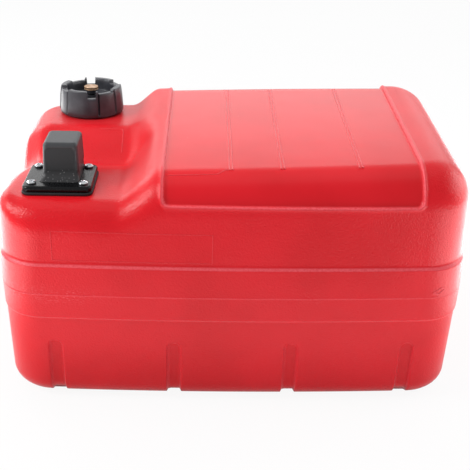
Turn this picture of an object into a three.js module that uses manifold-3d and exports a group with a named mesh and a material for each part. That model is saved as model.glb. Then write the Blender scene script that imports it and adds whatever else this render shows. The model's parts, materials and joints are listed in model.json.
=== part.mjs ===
import * as THREE from "three";
import { mergeVertices } from "three/addons/utils/BufferGeometryUtils.js";
import Module from "manifold-3d";

const wasm = await Module();
wasm.setup();

// A portable outboard fuel tank: a blow-moulded shell with a filler cap, a float gauge
// under a hood, and a pickup with a quick connector.
// Lengths are millimetres. X runs along the tank, Y from its front to its back, Z up.

const clearance = 0.3; // between pieces that meet
const bearingPlay = 0.3; // round every pin and spindle
const overrun = 5; // of a cutting body past the face that it cuts

const tank = {
  length: 471,
  width: 319,
  wall: 4,
  cornerRadius: 40,
  bow: 7.4,
  beltBottom: 102,
  partingHeight: 131,
  beltTop: 162,
  beltStep: 3.4,
  endStep: 1.2,
  beltChamfer: 2.4,
  beltLean: 0.6,
  upperCornerRadius: 42,
  footCornerRadius: 45,
  footBow: 6,
  footFillet: 21,
  footBand: 14,
  panHeight: 3.5,
  panSlope: 4,
  frontShoulder: 38,
  shelfShoulder: 28,
  backShoulder: 36,
  rightShoulder: 40,
  leftShoulder: 14,
  capShoulder: 33,
  capShoulderFoot: -60,
  capShoulderHead: 5,
  lowerDraft: THREE.MathUtils.degToRad(3.6),
  upperDraft: THREE.MathUtils.degToRad(2.5),
  lowerEndDraft: THREE.MathUtils.degToRad(0.2),
  upperEndDraft: THREE.MathUtils.degToRad(0.6),
};

// The top: a high main deck, a low shelf for the gauge and a raised seat for the cap.
const deck = {
  height: 255,
  endRise: 7.9,
  tilt: THREE.MathUtils.degToRad(3.2),
  gaugeFromEnd: 60.2,
  gaugeFromFront: 75,
  gaugeHeight: 220,
  capFromEnd: 72.1,
  capFromBack: 64.9,
  capHeight: 232.4,
  stepFootFromEnd: 117,
  stepHeadFromEndFront: 165.5,
  stepHeadFromEndBack: 149.5,
  columnReach: 44, // of the skin's first column before the step's foot
  columnLead: 7.3, // of the step's own columns before its foot
  columnPitch: 13.55,
  bankFoot: -20,
  bankFootLeft: 8,
  bankHead: 45,
  valleyY: -14,
  valleyWidth: 18,
  valleyDepth: 5,
  edgeRiseFromEnd: 23.5,
  edgeRiseWidth: 17,
};
const edgeRiseSlope = 0.1;

const recess = {
  fromLeftEnd: 165.3,
  fromRightEnd: 55.4,
  lip: 228,
  depth: 2.8,
  corner: 6,
};

const flute = {
  spacing: 120.8,
  width: 14.2,
  depth: 3.4,
  top: 73.5,
  reach: 24,
};
const fluteSteps = [-1.5, -0.5, 0.5, 1.5];

const neck = {
  radius: 28,
  bore: 24,
  height: 11.8,
  root: 7,
  threadRadius: 1,
  threadPitch: 5,
  threadStart: 2.6,
};
const threadTurns = 1.25;

const boss = {
  depth: 14,
  pilotRadius: 2.1,
};

const cap = {
  radius: 36,
  footRadius: 34.2,
  footHeight: 1.4,
  waistRadius: 34.6,
  rimRadius: 33.4,
  rimRound: 1,
  height: 30.6,
  standOff: 0.8,
  innerRadius: 30,
  wellRadius: 27.5,
  wellDepth: 12,
  floor: 2.5,
  slotPadRise: 1.8,
  slotWidth: 8.8,
  slotDepth: 7.6,
  grooveWidth: 1.2,
  grooveDepth: 1,
  grooveFoot: 4,
};
const slotAngles = [7, 187];
const grooveAngles = [-80, -45, 21, 56, 100, 135, 201, 236];
const raisedPads = [
  [-45, 21],
  [135, 201],
];

const seal = {
  capOuter: 29,
  capInner: 23.5,
  capThickness: 1.2,
  linerRadius: 29.4,
  linerThickness: 1,
};

const vent = {
  flangeRadius: 7.5,
  flangeThickness: 2,
  barrelRadius: 4.5,
  barrelBelow: 5.2,
  bore: 2.7,
  sealRadius: 4.4,
  sealSection: 1,
  knobRadius: 7.7,
  knobHeight: 7.4,
  knobRound: 0.7,
  stemRadius: 2.3,
  stemBelow: 8.8,
  knurlDepth: 0.5,
};
const knurlCount = 16;

const plate = {
  gasketSize: 70,
  gasketCorner: 8,
  gasketThickness: 2.7,
  bore: 22,
  size: 68,
  topSize: 65,
  corner: 7,
  thickness: 5.7,
  chamfer: 1.5,
  screwX: 25.3,
  screwY: 23.9,
};

const screw = {
  radius: 1.8,
  length: 21,
  headRadius: 4.7,
  headHeight: 3.2,
  crossWidth: 1.3,
  crossLength: 5.6,
  crossDepth: 1.7,
};

const hood = {
  centreX: 1,
  height: 38,
  baseWidth: 38,
  topWidth: 35.6,
  front: -14.5,
  flare: 7,
  flareHeight: 8,
  back: 32,
  backLean: 3.5,
  corner: 4,
  topRound: 3.5,
  wall: 2.2,
  notchDepth: 5,
  notchHeight: 10,
};

const glass = {
  openingWidth: 26,
  openingHeight: 15,
  centreHeight: 26.4,
  width: 30,
  height: 18,
  thickness: 1.2,
  sealThickness: 0.9,
  sealBand: 2.2,
};

const dial = {
  width: 30,
  top: 44,
  thickness: 0.7,
  hole: 3.4,
};

// The float gauge: two equal cranks joined by an upright link.
const gauge = {
  pivotHeight: 29,
  crankRadius: 6,
  linkLength: 129,
  crankPinRadius: 1,
  eyeRadius: 2.7,
  eyeThickness: 1.4,
  linkRadius: 1,
  linkY: -2.3,
  spindleRadius: 1.5,
  crankBossRadius: 3.2,
  crankThickness: 1.6,
  postHalfWidth: 2.6,
  postStart: 11.7,
  postEnd: 20,
  postHead: 3.4,
  pointerLength: 12,
  pointerTail: 4,
  pointerWidth: 1.6,
  pointerThickness: 0.7,
  pointerGap: 0.8,
  slotLength: 8.6,
  slotWidth: 6.4,
};
const restAngle = THREE.MathUtils.degToRad(-42); // of the float arm, tank empty
const fullTurn = THREE.MathUtils.degToRad(84);

const bracket = {
  width: 10,
  thickness: 1.5,
  back: -6.5,
  below: 6,
  footLength: 11,
};

const arm = {
  pinRadius: 1.5,
  pinHeadRadius: 2.8,
  pinHead: 1.6,
  hubRadius: 5.4,
  hubThickness: 3.4,
  wireRadius: 1,
  wireLength: 115,
  floatRadius: 11,
  floatLength: 36,
  floatRound: 2.5,
};

const pickup = {
  x: 9,
  y: 13,
  radius: 4.4,
  bore: 3.2,
  top: -1.5,
  length: 196,
  strainerRadius: 8,
  strainerLength: 30,
  strainerBelow: 9,
  strainerRibDepth: 0.8,
  spigotRadius: 2.9,
  spigotBore: 1.6,
  spigotBelow: 9,
};
const strainerRibs = 8;

const connector = {
  height: 14,
  radius: 4.2,
  back: 6.6,
  reach: 43,
  bore: 2.4,
  boreStart: 9.6,
  springSeat: 24,
  passage: 1.5,
  orifice: 1.4,
  lip: 3,
  grooveFromTip: 6.2,
  grooveWidth: 2.4,
  grooveRadius: 3.2,
  ringSection: 0.85,
  tipChamfer: 0.8,
  pinX: -6,
  pinRadius: 2.4,
  pinReach: 45,
  pinHeadRadius: 3.6,
  pinHead: 1.8,
  pinTip: 1.2,
};

const valve = {
  headRadius: 2,
  headLength: 2.2,
  stemRadius: 0.95,
  stemBeyond: 2.4,
  tailRadius: 0.8,
  tailLength: 3.6,
  travel: 3,
  springWire: 0.3,
  springRadius: 1.7,
};
const springTurns = 7;

const coarse = 10; // sides of a small round
const round = 16; // sides of a middling one
const fine = 36; // sides of a large one

const stepColumns = [0, 1, 2, 3, 4];
const deckShares = [0.197, 0.489, 0.781, 1]; // from the last column of the step
const sideShares = [0, 0.25, 0.5, 0.6, 0.7, 1];
const inwardShares = [0.14, 0.3, 0.46, 0.62, 0.78];
const quarterShares = [0, 0.25, 0.5, 0.75, 1];

const { degToRad, lerp, smoothstep } = THREE.MathUtils;
const quarterTurn = Math.PI / 2;

// Solids

function solid(geometry, matrix = new THREE.Matrix4()) {
  const bare = new THREE.BufferGeometry();
  bare.setAttribute("position", geometry.getAttribute("position").clone());
  bare.setIndex(geometry.index);
  bare.applyMatrix4(matrix);
  const merged = mergeVertices(bare, 1e-4);
  const corners = merged.index.array;
  const triangles = [];
  for (let i = 0; i < corners.length; i += 3) {
    const [a, b, c] = corners.slice(i, i + 3);
    if (a !== b && b !== c && c !== a) triangles.push(a, b, c);
  }
  const build = () =>
    new wasm.Manifold(
      new wasm.Mesh({
        numProp: 3,
        vertProperties: merged.attributes.position.array,
        triVerts: new Uint32Array(triangles),
      }),
    );
  const made = build();
  if (made.volume() > 0) return made;
  triangles.reverse();
  return build();
}

function geometryOf(body) {
  const mesh = body.getMesh();
  const geometry = new THREE.BufferGeometry();
  geometry.setAttribute(
    "position",
    new THREE.BufferAttribute(mesh.vertProperties, mesh.numProp),
  );
  geometry.setIndex(new THREE.BufferAttribute(mesh.triVerts, 1));
  return geometry;
}

const placed = (body, matrix) => solid(geometryOf(body), matrix);
const cut = (body, ...tools) =>
  tools.reduce((rest, tool) => rest.subtract(tool), body);
const join = (body, ...others) =>
  others.reduce((sum, other) => sum.add(other), body);

// Rings of equally many points, each [x, y, z], skinned in order and shut at both ends.
function loft(rings) {
  const count = rings[0].length;
  const index = [];
  for (let row = 0; row + 1 < rings.length; row += 1) {
    for (let i = 0; i < count; i += 1) {
      const a = row * count + i;
      const b = row * count + ((i + 1) % count);
      index.push(a, b, b + count, a, b + count, a + count);
    }
  }
  const geometry = new THREE.BufferGeometry();
  geometry.setAttribute(
    "position",
    new THREE.Float32BufferAttribute(rings.flat(2), 3),
  );
  geometry.setIndex(index);
  return solid(geometry);
}

const middle = (ring) => {
  const sum = ring.reduce(([x, y, z], p) => [x + p[0], y + p[1], z + p[2]]);
  return ring.map(() => sum.map((value) => value / ring.length));
};
const closedLoft = (rings) =>
  loft([middle(rings[0]), ...rings, middle(rings.at(-1))]);

// A body of revolution about Z from [radius, height] pairs that close on themselves.
function lathe(profile, sides = round) {
  const points = profile.map(([r, z]) => new THREE.Vector2(r, z));
  const geometry = new THREE.LatheGeometry([...points, points[0]], sides);
  return solid(geometry.rotateX(quarterTurn));
}

const rod = (radius, from, to, sides = coarse) =>
  lathe(
    [
      [0, from],
      [radius, from],
      [radius, to],
      [0, to],
    ],
    sides,
  );

const pipe = (outer, inner, from, to, sides = round) =>
  lathe(
    [
      [inner, from],
      [outer, from],
      [outer, to],
      [inner, to],
    ],
    sides,
  );

function box(x0, x1, y0, y1, z0, z1) {
  const geometry = new THREE.BoxGeometry(x1 - x0, y1 - y0, z1 - z0);
  return solid(
    geometry.translate((x0 + x1) / 2, (y0 + y1) / 2, (z0 + z1) / 2),
  );
}

function roundedShape(width, height, radius) {
  const x = width / 2 - radius;
  const y = height / 2 - radius;
  const shape = new THREE.Shape();
  shape.absarc(x, y, radius, 0, quarterTurn);
  shape.absarc(-x, y, radius, quarterTurn, Math.PI);
  shape.absarc(-x, -y, radius, Math.PI, 3 * quarterTurn);
  shape.absarc(x, -y, radius, 3 * quarterTurn, 4 * quarterTurn);
  return shape;
}

// A doorway's outline: square at its foot, half round at its head.
function archShape(width, height) {
  const half = width / 2;
  const shape = new THREE.Shape();
  shape.moveTo(-half, 0);
  shape.lineTo(half, 0);
  shape.absarc(0, height - half, half, 0, 2 * quarterTurn);
  return shape;
}

function prism(shape, from, to, curveSegments = 3) {
  const options = { depth: to - from, bevelEnabled: false, curveSegments };
  return solid(
    new THREE.ExtrudeGeometry(shape, options).translate(0, 0, from),
  );
}

function tube(curve, radius, steps, sides) {
  const section = new THREE.Shape();
  section.absarc(0, 0, radius, 0, 4 * quarterTurn);
  return solid(
    new THREE.ExtrudeGeometry(section, {
      steps,
      extrudePath: curve,
      curveSegments: sides,
    }),
  );
}

const moved = (x, y, z) => new THREE.Matrix4().makeTranslation(x, y, z);
const turnedAboutZ = (angle) => new THREE.Matrix4().makeRotationZ(angle);
// Turns a body that stands along Z so that it lies along Y, its foot at y = 0.
const laidBack = (x, y, z) =>
  moved(x, y, z).multiply(new THREE.Matrix4().makeRotationX(-quarterTurn));

// Tank shell

const halfLength = tank.length / 2;
const halfWidth = tank.width / 2;
const gaugeX = deck.gaugeFromEnd - halfLength;
const gaugeY = deck.gaugeFromFront - halfWidth;
const capX = deck.capFromEnd - halfLength;
const capY = halfWidth - deck.capFromBack;
const stepFoot = deck.stepFootFromEnd - halfLength;

// Shares of the long side where the skin has its columns: those of the step keep to its foot.
const leftColumns = [
  deck.stepFootFromEnd - deck.columnReach,
  ...stepColumns.map(
    (k) => deck.stepFootFromEnd - deck.columnLead + k * deck.columnPitch,
  ),
].map(
  (fromEnd) =>
    (fromEnd - tank.upperCornerRadius) / (tank.length - 2 * tank.upperCornerRadius),
);
const columnShares = [
  0,
  ...leftColumns,
  ...deckShares.map((share) => lerp(leftColumns.at(-1), 1, share)),
];

// The plan of the shell at one level: points in order round it, with outward normals.
function plan({ length, width, radius, bow }, inset) {
  const hx = length - inset;
  const hy = width - inset;
  const r = Math.max(radius - inset, tank.wall);
  const cx = hx - r;
  const cy = hy - r;
  const points = [];
  const put = (x, y, nx, ny, edge) => points.push({ x, y, nx, ny, edge });
  const corner = (x, y, start) =>
    quarterShares.slice(1, -1).forEach((share) => {
      const angle = start + share * quarterTurn;
      const nx = Math.cos(angle);
      const ny = Math.sin(angle);
      put(x + r * nx, y + r * ny, nx, ny, Math.sign(x));
    });
  columnShares.forEach((s) => put(lerp(-cx, cx, s), -hy, 0, -1, s));
  corner(cx, -cy, -quarterTurn);
  sideShares.forEach((s) => put(hx, lerp(-cy, cy, s), 1, 0, 1));
  corner(cx, cy, 0);
  [...columnShares].reverse().forEach((s) => put(lerp(-cx, cx, s), hy, 0, 1, s));
  corner(-cx, cy, quarterTurn);
  [...sideShares].reverse().forEach((s) => put(-hx, lerp(-cy, cy, s), -1, 0, -1));
  corner(-cx, -cy, 2 * quarterTurn);
  points.forEach((p) => {
    p.y *= 1 - (bow / hy) * (p.x / hx) ** 2;
  });
  return points;
}

function level(z) {
  const { beltStep, endStep } = tank;
  if (z < tank.beltBottom) {
    const run = tank.beltBottom - z;
    const share = z / tank.beltBottom;
    return {
      length: halfLength - endStep - Math.tan(tank.lowerEndDraft) * run,
      width: halfWidth - beltStep - Math.tan(tank.lowerDraft) * run,
      radius: lerp(tank.footCornerRadius, tank.cornerRadius, share),
      bow: lerp(tank.footBow, tank.bow, share),
    };
  }
  const run = z - tank.beltTop;
  return {
    length: halfLength - endStep - Math.tan(tank.upperEndDraft) * run,
    width: halfWidth - beltStep - Math.tan(tank.upperDraft) * run,
    radius: tank.upperCornerRadius,
    bow: tank.bow,
  };
}

const belt = (lean) => ({
  length: halfLength - lean,
  width: halfWidth - lean,
  radius: tank.cornerRadius,
  bow: tank.bow,
});

function deckStep(x, y) {
  const back = (y + halfWidth) / tank.width;
  const head = lerp(deck.stepHeadFromEndFront, deck.stepHeadFromEndBack, back);
  return smoothstep(x, stepFoot, head - halfLength);
}

function topHeight(x, y) {
  const step = deckStep(x, y);
  const slope = Math.tan(deck.tilt);
  const edgeStart = deck.edgeRiseFromEnd - halfLength;
  const edge = smoothstep(edgeStart - x, 0, deck.edgeRiseWidth);
  const gaugeShelf =
    deck.gaugeHeight - (slope + edge * edgeRiseSlope) * (y - gaugeY);
  const capSeat = deck.capHeight - slope * (y - capY);
  const left = (x - stepFoot) / (-halfLength - stepFoot);
  const foot = lerp(deck.bankFoot, deck.bankFootLeft, Math.min(1, Math.max(0, left)));
  const bank = smoothstep(y, foot, deck.bankHead);
  const valley =
    deck.valleyDepth *
    Math.exp(-(((y - deck.valleyY) / deck.valleyWidth) ** 2));
  const low = lerp(gaugeShelf, capSeat, bank) - valley;
  return lerp(low, deck.height + (deck.endRise * x) / halfLength, step);
}

function shoulder({ x, y, nx, ny }) {
  const front = lerp(tank.shelfShoulder, tank.frontShoulder, deckStep(x, y));
  const across = ny < 0 ? front : tank.backShoulder;
  const atCap = smoothstep(y, tank.capShoulderFoot, tank.capShoulderHead);
  const left = lerp(tank.leftShoulder, tank.capShoulder, atCap);
  const along = nx > 0 ? tank.rightShoulder : left;
  return ny * ny * across + nx * nx * along;
}

// The ridge: the line on the X axis that the rings of the top and the bottom shrink to.
function ridge(points, z) {
  const { length, radius } = level(z);
  const reach = length - radius;
  return points.map(({ nx, edge }) => [
    nx === 0 ? lerp(-reach, reach, edge) : edge * reach,
    0,
  ]);
}

// The skin moved inwards by inset, and by deckInset more under the main deck.
function shell(inset, deckInset = 0) {
  const lift = (points, z) => points.map(({ x, y }) => [x, y, z]);
  const rings = [];

  const { footFillet, footBand, panSlope, panHeight } = tank;
  const ground = level(0);
  const floorRing = plan(ground, footFillet);
  const spine = ridge(floorRing, 0);
  rings.push(spine.map(([x, y]) => [x, y, panHeight + inset]));
  const band = footFillet + footBand + inset;
  rings.push(lift(plan(ground, band + panSlope), panHeight + inset));
  rings.push(lift(plan(ground, band), inset));
  [...quarterShares].reverse().forEach((share) => {
    const angle = share * quarterTurn;
    const radius = footFillet - inset;
    const z = footFillet - radius * Math.sin(angle);
    const inwards = inset + radius * (1 - Math.cos(angle));
    rings.push(lift(plan(level(z), inwards), z));
  });

  const { beltBottom, beltChamfer, beltTop, beltLean, partingHeight } = tank;
  const below = level(beltBottom - clearance);
  rings.push(lift(plan(below, inset), beltBottom));
  rings.push(lift(plan(belt(beltLean), inset), beltBottom + beltChamfer));
  rings.push(lift(plan(belt(0), inset), partingHeight));
  rings.push(lift(plan(belt(beltLean), inset), beltTop));
  rings.push(lift(plan(level(beltTop), inset), beltTop + beltChamfer));

  let last;
  quarterShares.forEach((share) => {
    const angle = share * quarterTurn;
    const wall = plan(level(beltTop), inset);
    last = wall.map((point, i) => {
      const radius = shoulder(point);
      const fall = radius * (1 - Math.sin(angle));
      const here = plan(level(topHeight(point.x, point.y) - fall), inset)[i];
      const extra = deckInset * deckStep(point.x, point.y);
      const inwards =
        (radius - inset) * (1 - Math.cos(angle)) + extra * Math.cos(angle);
      const x = here.x - here.nx * inwards;
      const y = here.y - here.ny * inwards;
      const fallen =
        inset + (radius - inset) * (1 - Math.sin(angle)) + extra * Math.sin(angle);
      return [x, y, topHeight(x, y) - fallen];
    });
    rings.push(last);
  });

  const crest = ridge(plan(level(deck.height), inset), deck.height);
  [...inwardShares, 1].forEach((share) => {
    rings.push(
      last.map(([px, py], i) => {
        const x = lerp(px, crest[i][0], share);
        const y = lerp(py, crest[i][1], share);
        return [x, y, topHeight(x, y) - inset - deckInset * deckStep(x, y)];
      }),
    );
  });
  return loft(rings);
}

const standing = new THREE.Matrix4().makeRotationX(quarterTurn);

// The upright grooves of the lower wall, and the same bodies grown by a wall's thickness.
function flutes(grow) {
  const width = flute.width + 2 * grow;
  const bottom = -overrun - grow;
  const top = flute.top + grow;
  const outer = halfWidth + overrun;
  const inner = halfWidth - tank.beltStep - flute.reach - grow;
  const bodies = fluteSteps.flatMap((step) =>
    [-1, 1].map((side) => {
      const shape = archShape(width, top - bottom);
      const [from, to] = side > 0 ? [-outer, -inner] : [inner, outer];
      return solid(
        geometryOf(prism(shape, from, to)),
        moved(step * flute.spacing, 0, bottom).multiply(standing),
      );
    }),
  );
  return join(...bodies).subtract(shell(flute.depth + grow));
}

function deckRecess() {
  const left = recess.fromLeftEnd - halfLength;
  const right = halfLength - recess.fromRightEnd;
  const bottom = recess.lip;
  const height = deck.height + deck.endRise + overrun - bottom + recess.corner;
  const shape = roundedShape(right - left, height, recess.corner);
  return solid(
    geometryOf(prism(shape, -halfWidth - overrun, halfWidth + overrun)),
    moved((left + right) / 2, 0, bottom + height / 2).multiply(standing),
  ).subtract(shell(recess.depth));
}

// Frames of the gauge and of the cap

const tilted = new THREE.Matrix4().makeRotationX(-deck.tilt);
const gaugeFrame = moved(gaugeX, gaugeY, deck.gaugeHeight).multiply(tilted);
const capFrame = moved(capX, capY, deck.capHeight).multiply(tilted);

const screwPlaces = [
  [-1, -1],
  [1, -1],
  [1, 1],
  [-1, 1],
].map(([x, y]) => [x * plate.screwX, y * plate.screwY]);

function neckThread() {
  const steps = Math.round(threadTurns * round);
  const points = Array.from({ length: steps + 1 }, (_, i) => {
    const angle = (i / round) * 4 * quarterTurn;
    const z = neck.threadStart + (i / round) * neck.threadPitch;
    return new THREE.Vector3(
      neck.radius * Math.cos(angle),
      neck.radius * Math.sin(angle),
      z,
    );
  });
  return tube(new THREE.CatmullRomCurve3(points), neck.threadRadius, steps, 2);
}

function tankBody() {
  const outside = cut(shell(0), flutes(0), deckRecess());
  const inside = shell(tank.wall, recess.depth).subtract(flutes(tank.wall));
  const bossShape = roundedShape(
    plate.gasketSize - 2 * clearance,
    plate.gasketSize - 2 * clearance,
    plate.gasketCorner,
  );
  const gaugeBoss = prism(bossShape, -boss.depth, -tank.wall / 2);
  const neckPipe = join(
    pipe(neck.radius, neck.bore, -neck.root, neck.height, fine),
    neckThread(),
  );
  const screwHoles = screwPlaces.map(([x, y]) =>
    solid(
      geometryOf(rod(boss.pilotRadius, -boss.depth - overrun, overrun)),
      moved(x, y, 0),
    ),
  );
  return cut(
    join(
      outside.subtract(inside),
      placed(gaugeBoss, gaugeFrame),
      placed(neckPipe, capFrame),
    ),
    placed(rod(neck.bore, -neck.root - overrun, overrun, fine), capFrame),
    placed(rod(plate.bore, -boss.depth - overrun, overrun, fine), gaugeFrame),
    ...screwHoles.map((hole) => placed(hole, gaugeFrame)),
  );
}

// Cap, along its own axis from its seat

const capBase = cap.standOff;
const rimTop = capBase + cap.height;
const padTop = rimTop - cap.slotPadRise;
const wellFloor = padTop - cap.wellDepth;
const floorUnder = wellFloor - cap.floor;

function capBody() {
  const skirt = lathe(
    [
      [cap.innerRadius, capBase],
      [cap.footRadius, capBase],
      [cap.radius, capBase + cap.footHeight],
      [cap.waistRadius, padTop - cap.slotDepth],
      [cap.rimRadius, rimTop - cap.rimRound],
      [cap.rimRadius - cap.rimRound, rimTop],
      [cap.wellRadius, rimTop],
      [cap.wellRadius, wellFloor],
      [0, wellFloor],
      [0, floorUnder],
      [cap.innerRadius, floorUnder],
    ],
    fine,
  );
  const outer = cap.radius + overrun;
  const sector = (from, to, z0, z1, inner = 0) => {
    const shape = new THREE.Shape();
    shape.absarc(0, 0, outer, degToRad(from), degToRad(to));
    shape.absarc(0, 0, inner, degToRad(to), degToRad(from), true);
    return prism(shape, z0, z1, round);
  };
  // Angles run from the front towards +X.
  const lowered = raisedPads.map(([, end], i) => {
    const [next] = raisedPads[(i + 1) % raisedPads.length];
    const stop = next < end ? next + 360 : next;
    return sector(end - 90, stop - 90, padTop, rimTop + overrun, clearance);
  });
  const reach = cap.radius + overrun;
  const slots = slotAngles.map((angle) =>
    solid(
      geometryOf(
        box(
          cap.wellRadius - overrun,
          reach,
          -cap.slotWidth / 2,
          cap.slotWidth / 2,
          rimTop - cap.slotDepth,
          rimTop + overrun,
        ),
      ),
      turnedAboutZ(degToRad(angle - 90)),
    ),
  );
  const grooves = grooveAngles.map((angle) =>
    solid(
      geometryOf(
        box(
          cap.rimRadius - cap.grooveDepth,
          reach,
          -cap.grooveWidth / 2,
          cap.grooveWidth / 2,
          capBase + cap.grooveFoot,
          rimTop + overrun,
        ),
      ),
      turnedAboutZ(degToRad(angle - 90)),
    ),
  );
  const bushHole = rod(
    vent.barrelRadius + clearance,
    floorUnder - overrun,
    wellFloor + overrun,
    round,
  );
  return cut(skirt, ...lowered, ...slots, ...grooves, bushHole);
}

const gasketTop = neck.height + clearance + seal.capThickness;
const linerBottom = floorUnder - clearance - seal.linerThickness;
const bushFoot = wellFloor + clearance;
const bushTop = bushFoot + vent.flangeThickness;
const sealBottom = bushTop + clearance;
const knobBottom = sealBottom + 2 * vent.sealSection + clearance;

const ringSeal = (radius, section, sides = round) =>
  solid(new THREE.TorusGeometry(radius, section, 6, sides));

function ventScrew() {
  const { knobRadius, knobHeight, knobRound, stemRadius } = vent;
  const top = knobBottom + knobHeight;
  const body = lathe(
    [
      [0, bushFoot - vent.stemBelow],
      [stemRadius, bushFoot - vent.stemBelow],
      [stemRadius, knobBottom],
      [knobRadius - knobRound, knobBottom],
      [knobRadius, knobBottom + knobRound],
      [knobRadius, top - knobRound],
      [knobRadius - knobRound, top],
      [0, top],
    ],
    2 * knurlCount,
  );
  const knurls = Array.from({ length: knurlCount }, (_, i) => {
    const corner = vent.knurlDepth;
    const shape = new THREE.Shape();
    shape.moveTo(knobRadius - corner, 0);
    shape.lineTo(knobRadius + corner, -2 * corner);
    shape.lineTo(knobRadius + corner, 2 * corner);
    return solid(
      geometryOf(prism(shape, knobBottom + knobRound, top - knobRound)),
      turnedAboutZ(((i + 0.5) / knurlCount) * 4 * quarterTurn),
    );
  });
  return cut(body, ...knurls);
}

// Gauge plate, along its own axis from the shelf

const gasketFoot = clearance;
const plateFoot = gasketFoot + plate.gasketThickness + clearance;
const plateTop = plateFoot + plate.thickness;
const hoodFoot = plateTop + clearance;

const screwHole = (from, to) =>
  screwPlaces.map(([x, y]) =>
    placed(rod(screw.radius + 2 * clearance, from, to), moved(x, y, 0)),
  );

function meterGasket() {
  const { gasketSize, gasketCorner, gasketThickness, bore } = plate;
  const shape = roundedShape(gasketSize, gasketSize, gasketCorner);
  const top = gasketFoot + gasketThickness;
  return cut(
    prism(shape, gasketFoot, top),
    rod(bore, gasketFoot - overrun, top + overrun, fine),
    ...screwHole(gasketFoot - overrun, top + overrun),
  );
}

const crankX = gauge.crankRadius * Math.cos(restAngle + fullTurn / 2);
const pivotX = hood.centreX;

function meterFlange() {
  const ring = (size, z) =>
    roundedShape(size, size, plate.corner)
      .getPoints(2)
      .slice(0, -1)
      .map(({ x, y }) => [x, y, z]);
  const slab = closedLoft([
    ring(plate.size, plateFoot),
    ring(plate.size, plateTop - plate.chamfer),
    ring(plate.topSize, plateTop),
  ]);
  const { postHalfWidth, postStart, postEnd, postHead, pivotHeight } = gauge;
  const post = join(
    box(
      pivotX - postHalfWidth,
      pivotX + postHalfWidth,
      postStart,
      postEnd,
      plateTop - plate.chamfer,
      pivotHeight,
    ),
    solid(
      geometryOf(rod(postHead, 0, postEnd - postStart, round)),
      laidBack(pivotX, postStart, pivotHeight),
    ),
  );
  const spindleBore = solid(
    geometryOf(
      rod(
        gauge.spindleRadius + bearingPlay,
        -overrun,
        postEnd - postStart + overrun,
      ),
    ),
    laidBack(pivotX, postStart, pivotHeight),
  );
  const slot = placed(
    prism(
      roundedShape(gauge.slotLength, gauge.slotWidth, gauge.eyeRadius),
      plateFoot - overrun,
      plateTop + overrun,
    ),
    moved(pivotX - crankX, gauge.linkY + gauge.eyeThickness / 2, 0),
  );
  const spigotHole = placed(
    rod(
      pickup.spigotRadius + clearance,
      plateFoot - overrun,
      plateTop + overrun,
      round,
    ),
    moved(pickup.x, pickup.y, 0),
  );
  return cut(
    join(slab, post),
    spindleBore,
    slot,
    spigotHole,
    ...screwHole(plateFoot - overrun, plateTop + overrun),
  );
}

function flangeScrew() {
  const { radius, length, headRadius, headHeight } = screw;
  const top = headHeight;
  const body = lathe(
    [
      [0, -length],
      [radius / 2, -length],
      [radius, radius - length],
      [radius, 0],
      [headRadius, 0],
      [headRadius, top / 2],
      [headRadius * 0.9, top * 0.8],
      [headRadius * 0.6, top],
      [0, top],
    ],
    round,
  );
  const { crossWidth, crossLength, crossDepth } = screw;
  const arm = (x, y) =>
    box(-x / 2, x / 2, -y / 2, y / 2, top - crossDepth, top + overrun);
  return cut(body, arm(crossLength, crossWidth), arm(crossWidth, crossLength));
}

const hoodTop = hoodFoot + hood.height;

// The rear face leans forward by backLean over the hood's height.
const hoodBack = (z) =>
  hood.back - (hood.backLean * (z - hoodFoot)) / hood.height;

function hoodRing(z, inset, corner) {
  const share = (z - hoodFoot) / hood.height;
  const width = lerp(hood.baseWidth, hood.topWidth, share) - 2 * inset;
  const low = Math.max(0, 1 - (z - hoodFoot) / hood.flareHeight);
  const front = hood.front - hood.flare * low * low + inset;
  const back = hoodBack(z) - inset;
  return roundedShape(width, back - front, Math.max(corner, clearance))
    .getPoints(2)
    .slice(0, -1)
    .map(({ x, y }) => [x + hood.centreX, y + (front + back) / 2, z]);
}

// A body laid in the plane of the leaning rear face, its centre at the window's.
const windowZ = hoodFoot + glass.centreHeight;
const rearLean = Math.atan(hood.backLean / hood.height);
const rearFrame = moved(hood.centreX, hoodBack(windowZ), windowZ).multiply(
  new THREE.Matrix4().makeRotationX(quarterTurn + rearLean),
);

function meterHood() {
  const { topRound, wall, flareHeight, notchDepth, notchHeight } = hood;
  const flareRows = quarterShares.map((share) => hoodFoot + share * flareHeight);
  const topRows = quarterShares.map((share) => {
    const angle = share * quarterTurn;
    return [
      hoodTop - topRound * (1 - Math.sin(angle)),
      topRound * (1 - Math.cos(angle)),
    ];
  });
  const outside = closedLoft([
    ...flareRows.map((z) => hoodRing(z, 0, hood.corner)),
    ...topRows.map(([z, inset]) => hoodRing(z, inset, hood.corner - inset / 2)),
  ]);
  const inside = closedLoft([
    ...[...flareRows, hoodTop - wall].map((z) =>
      hoodRing(z, wall, hood.corner - wall),
    ),
  ]);
  const far = tank.width;
  const notch = (grow) =>
    box(
      -far,
      far,
      hood.back - notchDepth - grow,
      hood.back + far,
      hoodFoot - overrun,
      hoodFoot + notchHeight + grow,
    );
  const mouth = box(
    hood.centreX - hood.baseWidth / 2 + wall,
    hood.centreX + hood.baseWidth / 2 - wall,
    hood.front - hood.flare + wall,
    hood.back - notchDepth - wall,
    hoodFoot - overrun,
    hoodFoot + clearance,
  );
  const opening = placed(
    prism(
      roundedShape(glass.openingWidth, glass.openingHeight, hood.corner / 2),
      -overrun,
      overrun,
    ),
    rearFrame,
  );
  const through = (radius, x) =>
    solid(
      geometryOf(rod(radius + clearance, -overrun, 2 * overrun, round)),
      laidBack(x, hood.back - notchDepth - wall, connector.height),
    );
  return cut(
    outside.subtract(notch(0)),
    inside.subtract(notch(wall)),
    mouth,
    opening,
    through(connector.radius, pickup.x),
    through(connector.pinRadius, connector.pinX),
  );
}

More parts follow.
